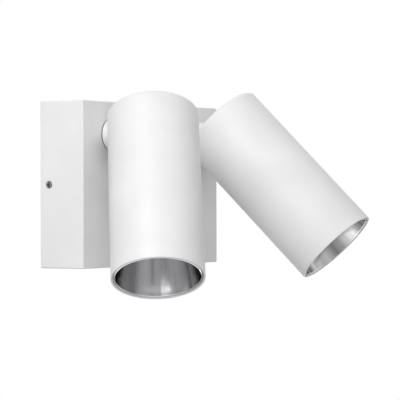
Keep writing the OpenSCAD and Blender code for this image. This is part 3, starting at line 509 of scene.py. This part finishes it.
def arm_place(side):
    x, swing, _ = POSES[side]
    return Matrix.Translation(Vector((x, PIVOT_Y, ARM_Z)) * MM) @ Matrix.Rotation(math.radians(-swing), 4, "Y")


def head_place(side):
    return arm_place(side) @ Matrix.Rotation(math.radians(-POSES[side][2]), 4, "X")


def copy_to_sides(master, name, place, body, slot, node, angle=35):
    """Puts a copy of a piece, with its own mesh, on each side."""
    for side in POSES:
        piece = master.copy()
        piece.data = master.data.copy()
        scene.collection.objects.link(piece)
        piece.data.transform(place(side))
        finish_piece(piece, f"{side}_{name}", f"{side}_{body}", slot, f"{side}_{node}", angle=angle)
    bpy.data.objects.remove(master)


for joint in frame["joints"]:
    print(joint["name"], [round(v / MM, 2) for v in joint["pos_m"]])

# %% [markdown]
# The cover of the base is a shallow white box, open at the back. It is one piece of moulded or folded sheet, so
# its inner corners are sharp and only its outer edges are rounded. Solidify gives the wall first, and the bevel
# comes after it, on the outer edges alone: the other order would fold the inner corners over. The thin bright
# line down the front corner in the photograph is this round.

# %% Cover of the base
WIDTH, HEIGHT, DEPTH, WALL = 150.0, 100.0, 31.5, 1.8
cover = block((-WIDTH / 2, -DEPTH, -HEIGHT / 2), (WIDTH / 2, 0, HEIGHT / 2))
edit(cover)
pick("FACE", lambda f: f.normal.y > 0.9)
bpy.ops.mesh.delete(type="FACE")
modify(cover, "SOLIDIFY", thickness=WALL * MM, offset=-1, use_even_offset=True)
edit(cover)
outer = pick("EDGE", lambda e: ends_pass(e, lambda p: abs(p.x) > WIDTH / 2 - 0.1 and abs(p.z) > HEIGHT / 2 - 0.1)
             or ends_pass(e, lambda p: p.y < -DEPTH + 0.1))
bpy.ops.mesh.bevel(offset=0.8 * MM, segments=5, affect="EDGES")
begin()
print("rounded", outer, "outer edges")

# %% [markdown]
# Inside the cover stand four short posts: two carry the driver and two stop the arms. The front has a hole for
# each arm, and each side has a countersunk hole for a cover screw. M3 and M2.5 are the diameters of the hollows
# that such screws run in.

# %% Posts and holes of the cover
M3, M25 = 3.1, 2.6
POST_X, POST_Z, SCREW_Y = 57, -27, -6.6
for side in (-1, 1):
    post, stop, end = side * POST_X, side * (ARM_X + 12.192), side * WIDTH / 2
    cut(cover, rod(7, (post, -30.6, POST_Z), (post, -24, POST_Z)), operation="UNION")
    cut(cover, rod(3, (stop, -30.6, ARM_Z), (stop, -27.65, ARM_Z)), operation="UNION")
    cut(cover, rod(M3, (post, -29.7, POST_Z), (post, -20, POST_Z)))
    cut(cover, rod(12.16, (side * ARM_X, -40, ARM_Z), (side * ARM_X, -27.7, ARM_Z)))
    cut(cover, rod(M25, (side * 70, SCREW_Y, 0), (side * 80, SCREW_Y, 0)))
    cut(cover, rod(M25, (end - side * 1.4, SCREW_Y, 0), (end + side * 0.05, SCREW_Y, 0), end_diameter=5.0))
finish_piece(cover, "cover", "base", "powder_white", "base_cover", angle=40)

# %% [markdown]
# A screw is a head with a recess and a plain shank, because its thread is hidden in its hole. The head starts
# as a cylinder whose rim is bevelled into a dome. The cross recess is a small block with its four sides pulled
# out into arms and its floor drawn in, as the driver bit is tapered.


# %% Screws
def cross_tool(head_d, depth, top):
    """The shape of a cross driver's tip, pointing down from the height top."""
    width, reach = head_d * 0.21, head_d * 0.36
    tool = block((-width / 2, -width / 2, top - depth), (width / 2, width / 2, top + 0.3))
    edit(tool)
    for axis in (0, 1):
        for way in (-1, 1):
            pick("FACE", lambda f: f.normal[axis] * way > 0.9 and abs(f.calc_center_median()[1 - axis]) < 0.01 * MM)
            push = [0, 0, 0]
            push[axis] = way * (reach - width / 2) * MM
            bpy.ops.mesh.extrude_region_move(TRANSFORM_OT_translate={"value": push})
    pick("VERT", lambda v: v.co.z / MM < top - depth + 0.01)
    bpy.ops.transform.resize(value=(0.62, 0.62, 1), center_override=(0, 0, 0))
    begin()
    return tool


def pan_screw(head_d, head_h, thread_d, thread_l, shoulder_d=0, shoulder_l=0):
    """A screw with a domed head that sits on z = 0, and below it a shoulder, if it has one, and the thread."""
    screw = rod(head_d, (0, 0, 0), (0, 0, head_h), sides=48)
    edit(screw)
    pick("EDGE", lambda e: ends_pass(e, lambda p: p.z > head_h - 0.01))
    bpy.ops.mesh.bevel(offset=head_h * 0.5 * MM, segments=5, affect="EDGES")
    steps = [(shoulder_d, -shoulder_l)] if shoulder_l else []
    steps += [(thread_d, -shoulder_l - thread_l + 0.3), (thread_d - 0.6, -shoulder_l - thread_l)]
    z = 0.0
    pick("FACE", lambda f: f.normal.z < -0.9)
    wide = head_d
    for diameter, bottom in steps:
        if diameter != wide and bottom > -shoulder_l - thread_l:
            bpy.ops.mesh.extrude_region_move(TRANSFORM_OT_translate={"value": (0, 0, 0)})
            bpy.ops.transform.resize(value=(diameter / wide, diameter / wide, 1), center_override=(0, 0, z * MM))
            wide = diameter
        bpy.ops.mesh.extrude_region_move(TRANSFORM_OT_translate={"value": (0, 0, (bottom - z) * MM)})
        if diameter != wide:
            bpy.ops.transform.resize(value=(diameter / wide, diameter / wide, 1), center_override=(0, 0, bottom * MM))
            wide = diameter
        z = bottom
    begin()
    cut(screw, cross_tool(head_d, head_h * 0.62, head_h))
    return screw


def join(pieces):
    """Joins several pieces into one."""
    if len(pieces) == 1:
        return pieces[0]
    begin()
    for piece in pieces:
        piece.select_set(True)
    bpy.context.view_layer.objects.active = pieces[0]
    bpy.ops.object.join()
    return pieces[0]


def put(piece, start, along):
    """Moves a screw from the origin to a point, with its head towards a direction."""
    turn = Vector(along).to_track_quat("Z", "Y").to_matrix().to_4x4()
    piece.data.transform(Matrix.Translation(Vector(start) * MM) @ turn)
    return piece


def copies(piece, places):
    """Copies a piece, each copy with its own mesh, to each place and direction, and joins the copies."""
    made = []
    for start, along in places:
        copy = piece.copy()
        copy.data = piece.data.copy()
        scene.collection.objects.link(copy)
        made.append(put(copy, start, along))
    bpy.data.objects.remove(piece)
    return join(made)


print("screw helpers ready")

# %% [markdown]
# The two cover screws are countersunk, so their heads lie flush with the sides of the cover. One of them shows
# in the photograph as a small steel disc with a dark cross.

# %% Cover screws
HEAD_D = 4.8
screw = rod(HEAD_D, (0, 0, 0), (0, 0, -1.4), sides=48, end_diameter=2.5)
edit(screw)
pick("FACE", lambda f: f.normal.z < -0.9)
bpy.ops.mesh.extrude_region_move(TRANSFORM_OT_translate={"value": (0, 0, -6.2 * MM)})
bpy.ops.mesh.extrude_region_move(TRANSFORM_OT_translate={"value": (0, 0, -0.4 * MM)})
bpy.ops.transform.resize(value=(0.7, 0.7, 1), center_override=(0, 0, -8 * MM))
pick("EDGE", lambda e: ends_pass(e, lambda p: p.z > -0.01))
bpy.ops.mesh.bevel(offset=0.12 * MM, segments=2, affect="EDGES")
begin()
cut(screw, cross_tool(HEAD_D, 1.25, 0))
cover_screws = copies(screw, [((side * WIDTH / 2, SCREW_Y, 0), (side, 0, 0)) for side in (-1, 1)])
finish_piece(cover_screws, "countersunk_cover_screws", "base", "bright_steel", "cover_screws")

# %% [markdown]
# A head is an aluminium tube with a closed top. It starts as a cylinder that loses its lower face. A bevel
# rounds the top, and Solidify gives the wall inwards. The cap is thicker than the wall, so the inner end is then
# moved down. The mouth's two edges get a small round each, where the paint is thick.

# %% Tube of a head
TUBE_R, TUBE_L, TUBE_WALL, MOUTH_Z, TUBE_SIDES = 27.25, 110.5, 1.2, -96.0, 100
tube = rod(2 * TUBE_R, (0, 0, MOUTH_Z), (0, 0, MOUTH_Z + TUBE_L), sides=TUBE_SIDES)
edit(tube)
pick("FACE", lambda f: f.normal.z < -0.9)
bpy.ops.mesh.delete(type="FACE")
pick("EDGE", lambda e: ends_pass(e, lambda p: p.z > MOUTH_Z + TUBE_L - 0.01))
bpy.ops.mesh.bevel(offset=3 * MM, segments=10, affect="EDGES")
modify(tube, "SOLIDIFY", thickness=TUBE_WALL * MM, offset=-1, use_even_offset=True)
edit(tube)


def axis_distance(p):
    """How far a point lies from the tube's axis."""
    return math.hypot(p.x, p.y)


moved = pick("VERT", lambda v: 11.4 < v.co.z / MM < 13.4 and axis_distance(v.co / MM) < 26.1)
bpy.ops.transform.translate(value=(0, 0, -0.8 * MM))
pick("EDGE", lambda e: ends_pass(e, lambda p: p.z < MOUTH_Z + 0.01)
     and abs(axis_distance(e.verts[0].co / MM) - axis_distance(e.verts[1].co / MM)) < 0.1)
bpy.ops.mesh.bevel(offset=0.3 * MM, segments=3, affect="EDGES")
begin()
print("tube blank:", len(tube.data.polygons), "faces; inner end has", moved, "points")

# %% [markdown]
# The arm enters the tube through a slot at the back that runs up and over the top, so that the head can tilt
# away from the wall. The slot is what a round bar cuts when it swings up: a bar towards the wall whose upper half
# is pulled far up, and an upright bar for the rounded end on top. Its edges are softened like the mouth. Low on
# the back a screw holds the tube to the heat sink, in a small flat seat. The tube has 100 sides and the softening
# is 0.15 mm wide, so that no corner of the slot is pushed past the next point of the tube: the face on top would
# then cross itself and cover the slot.

# %% Slot and screw seat of the tube
SLOT_D, SLOT_SOFTENING = 20.3, 0.15
SEAT_Y, SEAT_Z = 27.05, -26
slot_tool = rod(SLOT_D, (0, 0, 0), (0, 60, 0), sides=72)
edit(slot_tool)
pick("VERT", lambda v: v.co.z / MM > 0.01)
bpy.ops.transform.translate(value=(0, 0, 60 * MM))
begin()
cut(tube, rod(5.6, (0, SEAT_Y, SEAT_Z), (0, 30, SEAT_Z)), rod(M3, (0, 20, SEAT_Z), (0, 30, SEAT_Z)))
cut(tube, slot_tool, rod(SLOT_D, (0, 0, 0), (0, 0, 60), sides=72))
edit(tube)


def on_slot(p):
    """Whether a point lies on the wall of the slot."""
    if p.y > -0.01 and p.z > -0.01:
        return abs(abs(p.x) - SLOT_D / 2) < 0.02
    return abs(math.hypot(p.x, min(p.y, p.z)) - SLOT_D / 2) < 0.02


def is_corner(edge):
    return len(edge.link_faces) == 2 and edge.calc_face_angle(0) > math.radians(50)


edges = pick("EDGE", lambda e: is_corner(e) and ends_pass(e, on_slot))
bpy.ops.mesh.bevel(offset=SLOT_SOFTENING * MM, segments=2, affect="EDGES", clamp_overlap=False)
begin()
tube.data.calc_loop_triangles()
spread = sum(t.area for t in tube.data.loop_triangles) - sum(f.area for f in tube.data.polygons)
print("softened", edges, "edges of the slot; faces that cross themselves add", round(spread / MM ** 2, 1), "mm2")
copy_to_sides(tube, "tube", head_place, "head", "powder_white", "head_tube")

# %% [markdown]
# The arm ends in a ball that the head tilts over. It starts as a sphere that loses its wall side. The open ring
# is then extruded into the shaft, drawn in for a small chamfer, stepped down to the threaded spigot and closed.
# Two flats, the bore for the lead, the holes for the pivot screws and the flat that keys the stop washer are cut
# last.

# %% Swivel arm
ARM_R, SHOULDER, SPIGOT_R, SPIGOT_END = 9.75, 30.489, 6.0, 40.389
ARM_PROFILE = ((12, ARM_R), (SHOULDER - 0.35, ARM_R), (SHOULDER, ARM_R - 0.35), (SHOULDER, SPIGOT_R),
               (SPIGOT_END - 0.5, SPIGOT_R), (SPIGOT_END, SPIGOT_R - 0.5))
FLAT_X, LEAD_D = 7.6, 7
begin()
bpy.ops.mesh.primitive_uv_sphere_add(segments=96, ring_count=48, radius=ARM_R * MM, rotation=(math.pi / 2, 0, 0))
bpy.ops.object.transform_apply(location=True, rotation=True, scale=True)
arm = bpy.context.object
edit(arm)
pick("VERT", lambda v: v.co.y / MM > 0.01)
bpy.ops.mesh.delete(type="VERT")
pick("EDGE", lambda e: e.is_boundary)
reached, radius = 0.0, ARM_R
for y, r in ARM_PROFILE:
    bpy.ops.mesh.extrude_edges_move(TRANSFORM_OT_translate={"value": (0, (y - reached) * MM, 0)})
    bpy.ops.transform.resize(value=(r / radius, 1, r / radius), center_override=(0, y * MM, 0))
    reached, radius = y, r
bpy.ops.mesh.edge_face_add()
begin()
for side in (-1, 1):
    near, far = sorted((side * FLAT_X, side * 12))
    cut(arm, block((near, -12, -12), (far, 8, 12)))
cut(arm, rod(LEAD_D, (0, -12, 0), (0, 42, 0)), rod(LEAD_D, (0, 0, -12), (0, 0, 0)),
    block((-LEAD_D / 2, -12, -12), (LEAD_D / 2, 0, 0)))
cut(arm, rod(M3, (-12, 0, 0), (12, 0, 0), sides=32), block((-6, 32.889, 5.2), (6, 42, 12)))
copy_to_sides(arm, "arm", arm_place, "arm", "powder_white", "swivel_arm", angle=30)

# %% [markdown]
# The yoke is a strip of plated steel under the arm with an ear bent up on each side. The plate is a block. It
# is cut across where the ears begin, and the two small faces in the middle of its sides are pulled up. Bevels as
# wide as half an ear make the ears' round ends, and a narrow one softens every edge, as tumbling does.

# %% Yoke
EAR_X, EAR_R, YOKE_SCREW_Y = 8.15, 6, 13


def cut_across(axis, place):
    """Cuts the piece's faces in two planes, each as far from the middle along an axis."""
    for way in (-1, 1):
        point, normal = [0, 0, 0], [0, 0, 0]
        point[axis], normal[axis] = way * place * MM, 1
        bpy.ops.mesh.select_all(action="SELECT")
        bpy.ops.mesh.bisect(plane_co=point, plane_no=normal)


yoke = block((-10.15, -18, -15), (10.15, 18, -13))
edit(yoke)
cut_across(1, EAR_R)
cut_across(0, EAR_X)
ears = pick("FACE", lambda f: f.normal.z > 0.9 and abs(f.calc_center_median().x) > EAR_X * MM
            and abs(f.calc_center_median().y) < 5 * MM)
bpy.ops.mesh.extrude_region_move(TRANSFORM_OT_translate={"value": (0, 0, 19 * MM)})
pick("EDGE", lambda e: ends_pass(e, lambda p: p.z > EAR_R - 0.1) and abs(e.verts[0].co.x - e.verts[1].co.x) > MM)
bpy.ops.mesh.bevel(offset=(EAR_R - 0.01) * MM, segments=18, affect="EDGES")
begin()
cut(yoke, rod(4.16, (-12, 0, 0), (12, 0, 0), sides=48), rod(7, (0, 0, -16), (0, 0, -12), sides=48))
cut(yoke, *[rod(M3, (0, side * YOKE_SCREW_Y, -16), (0, side * YOKE_SCREW_Y, -12), sides=32) for side in (-1, 1)])
modify(yoke, "BEVEL", width=0.18 * MM, segments=2, limit_method="ANGLE", angle_limit=math.radians(60))
print("ears:", ears)
copy_to_sides(yoke, "yoke_bracket", head_place, "head", "zinc_steel", "yoke")

# %% [markdown]
# The screws of a head and its arm: two through the yoke, one that holds the tube, two in the lamp holder, and the
# two shoulder screws that the head tilts on.

# %% Screws of the heads
HOLDER_SCREW_X, HOLDER_Z = 22.5, -44.1
yoke_screws = copies(pan_screw(5.5, 1.8, 3, 8.4), [((0, side * YOKE_SCREW_Y, -13), (0, 0, 1)) for side in (-1, 1)])
copy_to_sides(yoke_screws, "yoke_pan_screws", head_place, "head", "bright_steel", "yoke_screws")
tube_screw = copies(pan_screw(5.5, 1.8, 3, 9), [((0, SEAT_Y, SEAT_Z), (0, 1, 0))])
copy_to_sides(tube_screw, "tube_pan_screw", head_place, "head", "bright_steel", "tube_screw")
holder_screws = copies(pan_screw(4.5, 1.8, 3, 12.1),
                       [((side * HOLDER_SCREW_X, 0, HOLDER_Z), (0, 0, -1)) for side in (-1, 1)])
copy_to_sides(holder_screws, "holder_pan_screws", head_place, "head", "bright_steel", "holder_screws")
pivot_screws = copies(pan_screw(7, 2.2, 3, 3.6, shoulder_d=4, shoulder_l=2.6),
                      [((side * 10.2, 0, 0), (side, 0, 0)) for side in (-1, 1)])
copy_to_sides(pivot_screws, "pivot_shoulder_screws", arm_place, "arm", "bright_steel", "pivot_screws")

# %% [markdown]
# The reflector is a deep bowl of polished aluminium, a parabola between its neck at the light source and its
# rim at the mouth. It starts as a circle at the neck. The ring is extruded down step by step and widened along
# the curve, as metal is spun on a lathe, and a short straight rim ends it. Solidify adds the wall on the outside.

# %% Reflector bowl
NECK_R, RIM_R, NECK_Z, RIM_Z = 8.5, 24.8, -44.9, -95.6
STEPS, SAMPLE_FACE = 26, 200
begin()
bpy.ops.mesh.primitive_circle_add(vertices=144, radius=NECK_R * MM, location=(0, 0, NECK_Z * MM))
bpy.ops.object.transform_apply(location=True, rotation=True, scale=True)
bowl = bpy.context.object
edit(bowl)
bpy.ops.mesh.select_all(action="SELECT")
z, radius = NECK_Z, NECK_R
profile = [(NECK_Z + (RIM_Z - NECK_Z) * (i / STEPS) ** 2, NECK_R + (RIM_R - NECK_R) * i / STEPS)
           for i in range(1, STEPS + 1)]
profile[-1] = (RIM_Z + 0.8, RIM_R - 0.06)
for next_z, next_r in profile + [(RIM_Z + 0.12, RIM_R), (RIM_Z, RIM_R + 0.1)]:
    bpy.ops.mesh.extrude_edges_move(TRANSFORM_OT_translate={"value": (0, 0, (next_z - z) * MM)})
    bpy.ops.transform.resize(value=(next_r / radius, next_r / radius, 1), center_override=(0, 0, next_z * MM))
    z, radius = next_z, next_r
bpy.ops.mesh.select_all(action="SELECT")
bpy.ops.mesh.normals_make_consistent(inside=False)
face = bmesh.from_edit_mesh(bowl.data).faces[SAMPLE_FACE]
middle = face.calc_center_median()
outward_sign = 1 if face.normal.dot(Vector((middle.x, middle.y, 0))) > 0 else -1
begin()
modify(bowl, "SOLIDIFY", thickness=0.72 * MM, offset=outward_sign, use_even_offset=True)
print("bowl:", len(bowl.data.polygons), "faces; sign", outward_sign)

# %% [markdown]
# Polished aluminium, spun on a lathe. Its mirror is not perfect: its roughness varies in fine streaks along its
# length.
# The long light and dark bands in the bowl are painted reflections: light and shade painted into the base colour
# round the tube's axis, as a ramp over the angle in degrees, so a band runs all the way down the bowl and stays in
# place on the metal. Each bowl has its own painted bands. Noise that reads the direction from the axis with its
# length taken out makes the fine streaks in the roughness and shifts the edges of the painted bands.

# %% Polished aluminium with painted reflection bands
PAINTED_BAND_WOBBLE = 0.16
# Painted reflections: the light and dark bands of each bowl, as angles round the axis in degrees with their colours.
PAINTED_REFLECTION_BANDS = {
    "left": ((-180, "E0E0E1"), (-60, "D2D2D3"), (-30, "B4B4B5"), (-12, "B0B0B1"), (4, "BABABB"), (18, "C8C8C9"),
             (45, "CECECF"), (57, "C4C4C5"), (66, "9E9E9F"), (80, "CACACB"), (120, "E8E8E9"), (180, "E0E0E1")),
    "right": ((-180, "C0C0C1"), (-60, "CACACB"), (-18, "CCCCCD"), (-5, "F9F9FA"), (6, "DADADB"), (18, "AAAAAB"),
              (33, "727273"), (51, "B4B4B5"), (60, "A8A8A9"), (74, "CECECF"), (120, "BEBEBF"), (180, "C0C0C1")),
}
for side in POSES:
    material, tree, shader, place = new_finish(f"polished spun aluminium, {side} bowl", "E2E3E4", 0.16, metallic=1.0)
    back = head_place(side).inverted()
    turned = add_node(tree, "ShaderNodeMapping", {"Vector": place, "Location": back.to_translation(),
                                                  "Rotation": back.to_euler()}).outputs[0]
    level = add_node(tree, "ShaderNodeVectorMath", {0: turned, 1: (1, 1, 0)}, operation="MULTIPLY").outputs[0]
    around = add_node(tree, "ShaderNodeVectorMath", {0: level}, operation="NORMALIZE").outputs[0]
    streaks = add_node(tree, "ShaderNodeTexNoise", {"Vector": around, "Scale": 9.0, "Detail": 3.0}).outputs["Fac"]
    vary_roughness(tree, shader, streaks, 0.07, 0.17)
    split = add_node(tree, "ShaderNodeSeparateXYZ", {0: around})
    angle = add_node(tree, "ShaderNodeMath", {0: split.outputs["Y"], 1: split.outputs["X"]},
                     operation="ARCTAN2").outputs[0]
    painted_band_angle = add_node(tree, "ShaderNodeMath", {0: streaks, 1: PAINTED_BAND_WOBBLE, 2: angle},
                      operation="MULTIPLY_ADD").outputs[0]
    share = add_node(tree, "ShaderNodeMapRange", {0: painted_band_angle, 1: PAINTED_BAND_WOBBLE / 2 - math.pi,
                                                  2: PAINTED_BAND_WOBBLE / 2 + math.pi}).outputs[0]
    # The ramp paints the reflection bands into the base colour; the noise shifts their edges.
    ramp = add_node(tree, "ShaderNodeValToRGB", {"Fac": share})
    stops = ramp.color_ramp.elements
    while len(stops) < len(PAINTED_REFLECTION_BANDS[side]):
        stops.new(0.5)
    for stop, (degrees, colour) in zip(stops, PAINTED_REFLECTION_BANDS[side]):
        stop.position, stop.color = (degrees + 180) / 360, hex_colour(colour)
    tree.links.new(ramp.outputs[0], shader.inputs["Base Color"])
    finishes[f"polished_{side}"] = material
    piece = bowl.copy()
    piece.data = bowl.data.copy()
    scene.collection.objects.link(piece)
    piece.data.transform(head_place(side))
    piece.data.materials.append(material)
    finish_piece(piece, f"{side}_reflector_bowl", f"{side}_head", "polished_aluminium", f"{side}_reflector", angle=60)
bpy.data.objects.remove(bowl)

# %% [markdown]
# The light source is a round field of yellow phosphor inside a white silicone dam, seen from below at the end
# of the bowl. One disc is inset twice: the ring between the two insets is raised for the dam and the middle stays
# low for the phosphor.

# %% Light source
chip = rod(14, (0, 0, -39.1), (0, 0, -39.6), sides=64)
edit(chip)
pick("FACE", lambda f: f.normal.z < -0.9)
bpy.ops.mesh.inset(thickness=0.5 * MM)
bpy.ops.mesh.inset(thickness=1.0 * MM)
pick("FACE", lambda f: f.normal.z < -0.9 and 5.5 < axis_distance(f.calc_center_median() / MM) < 6.5)
bpy.ops.mesh.extrude_region_move(TRANSFORM_OT_translate={"value": (0, 0, -0.3 * MM)})
bpy.ops.transform.resize(value=(0.99, 0.99, 1), center_override=(0, 0, 0))
begin()
chip.data.materials.append(finishes["white_plastic"])
chip.data.materials.append(finishes["phosphor"])
for face in chip.data.polygons:
    if face.normal.z < -0.9 and axis_distance(face.center / MM) < 1:
        face.material_index = 1
copy_to_sides(chip, "light_source", head_place, "head", "phosphor", "led_chip")

# %% [markdown]
# The holder is a white plastic ring that presses the board against the heat sink. Its face is a disc with a
# round opening for the light, and it is hollow above for the board.

# %% Lamp holder
holder = rod(50, (0, 0, HOLDER_Z), (0, 0, -37), sides=96)
edit(holder)
pick("EDGE", lambda e: ends_pass(e, lambda p: p.z < HOLDER_Z + 0.01))
bpy.ops.mesh.bevel(offset=0.5 * MM, segments=3, affect="EDGES")
begin()
cut(holder, rod(40.1, (0, 0, -39.1), (0, 0, -36), sides=96), rod(17, (0, 0, -45), (0, 0, -38), sides=96))
cut(holder, *[rod(M3, (side * HOLDER_SCREW_X, 0, -45), (side * HOLDER_SCREW_X, 0, -36), sides=32)
              for side in (-1, 1)])
copy_to_sides(holder, "lamp_holder", head_place, "head", "white_plastic", "led_holder")

# %% [markdown]
# The wall plate shows from behind. It is steel sheet with a tab bent at each end. The tabs are pulled out of
# the plate's ends, and the bend gets the round that a press brake leaves. Slots take the wall screws, and a
# rubber grommet guards the cable.

# %% Wall plate
PLATE_X, PLATE_Z, PLATE_T, TAB_Z = 72.8, 47.8, 1.5, 10
SLOT_X, SLOT_HALF = 50, 4.6
CABLE_Z = 26
plate = block((-PLATE_X, -PLATE_T, -PLATE_Z), (PLATE_X, 0, PLATE_Z))
edit(plate)
cut_across(2, TAB_Z)
cut_across(0, PLATE_X - PLATE_T)
pick("FACE", lambda f: f.normal.y < -0.9 and abs(f.calc_center_median().x) > (PLATE_X - PLATE_T) * MM
     and abs(f.calc_center_median().z) < 9 * MM)
bpy.ops.mesh.extrude_region_move(TRANSFORM_OT_translate={"value": (0, -10.5 * MM, 0)})
pick("EDGE", lambda e: ends_pass(e, lambda p: p.y > -0.01 and abs(p.x) > PLATE_X - 0.1 and abs(p.z) < TAB_Z + 0.1))
bpy.ops.mesh.bevel(offset=1.2 * MM, segments=5, affect="EDGES")
pick("EDGE", lambda e: ends_pass(e, lambda p: abs(p.x) > PLATE_X - 0.1 and abs(p.z) > PLATE_Z - 0.1))
bpy.ops.mesh.bevel(offset=2 * MM, segments=5, affect="EDGES")
begin()
for side in (-1, 1):
    slot_end = side * SLOT_X - SLOT_HALF
    slot = rod(4.8, (slot_end, -3, 0), (slot_end, 2, 0), sides=32)
    edit(slot)
    pick("VERT", lambda v: v.co.x / MM > slot_end + 0.01)
    bpy.ops.transform.translate(value=(2 * SLOT_HALF * MM, 0, 0))
    begin()
    cut(plate, slot, rod(M25, (side * 70, SCREW_Y, 0), (side * 74, SCREW_Y, 0), sides=32))
    cut(plate, rod(M3, (side * 5, -3, 2), (side * 5, 2, 2), sides=32))
cut(plate, rod(16, (0, -3, CABLE_Z), (0, 2, CABLE_Z), sides=96), rod(M3, (28, -3, 20), (28, 2, 20), sides=32))
modify(plate, "BEVEL", width=0.12 * MM, segments=2, limit_method="ANGLE", angle_limit=math.radians(60))
finish_piece(plate, "bracket_plate", "base", "zinc_steel", "wall_plate")

# %% [markdown]
# The grommet is a rubber ring: a short collar that fills the plate's hole, and a wider flange inside the cover.
# The flange is pulled out of the collar's end.

# %% Cable grommet
COLLAR_D, FLANGE_D = 15.9, 20
grommet = rod(COLLAR_D, (0, -PLATE_T, CABLE_Z), (0, 0, CABLE_Z), sides=96)
edit(grommet)
pick("FACE", lambda f: f.normal.y < -0.9)
bpy.ops.mesh.extrude_region_move(TRANSFORM_OT_translate={"value": (0, 0, 0)})
bpy.ops.transform.resize(value=(FLANGE_D / COLLAR_D, 1, FLANGE_D / COLLAR_D),
                         center_override=(0, -PLATE_T * MM, CABLE_Z * MM))
bpy.ops.mesh.extrude_region_move(TRANSFORM_OT_translate={"value": (0, -1.5 * MM, 0)})
begin()
cut(grommet, rod(8, (0, -5, CABLE_Z), (0, 2, CABLE_Z), sides=64))
modify(grommet, "BEVEL", width=0.35 * MM, segments=3, limit_method="ANGLE", angle_limit=math.radians(50))
finish_piece(grommet, "rubber_grommet", "base", "black_rubber", "cable_grommet")
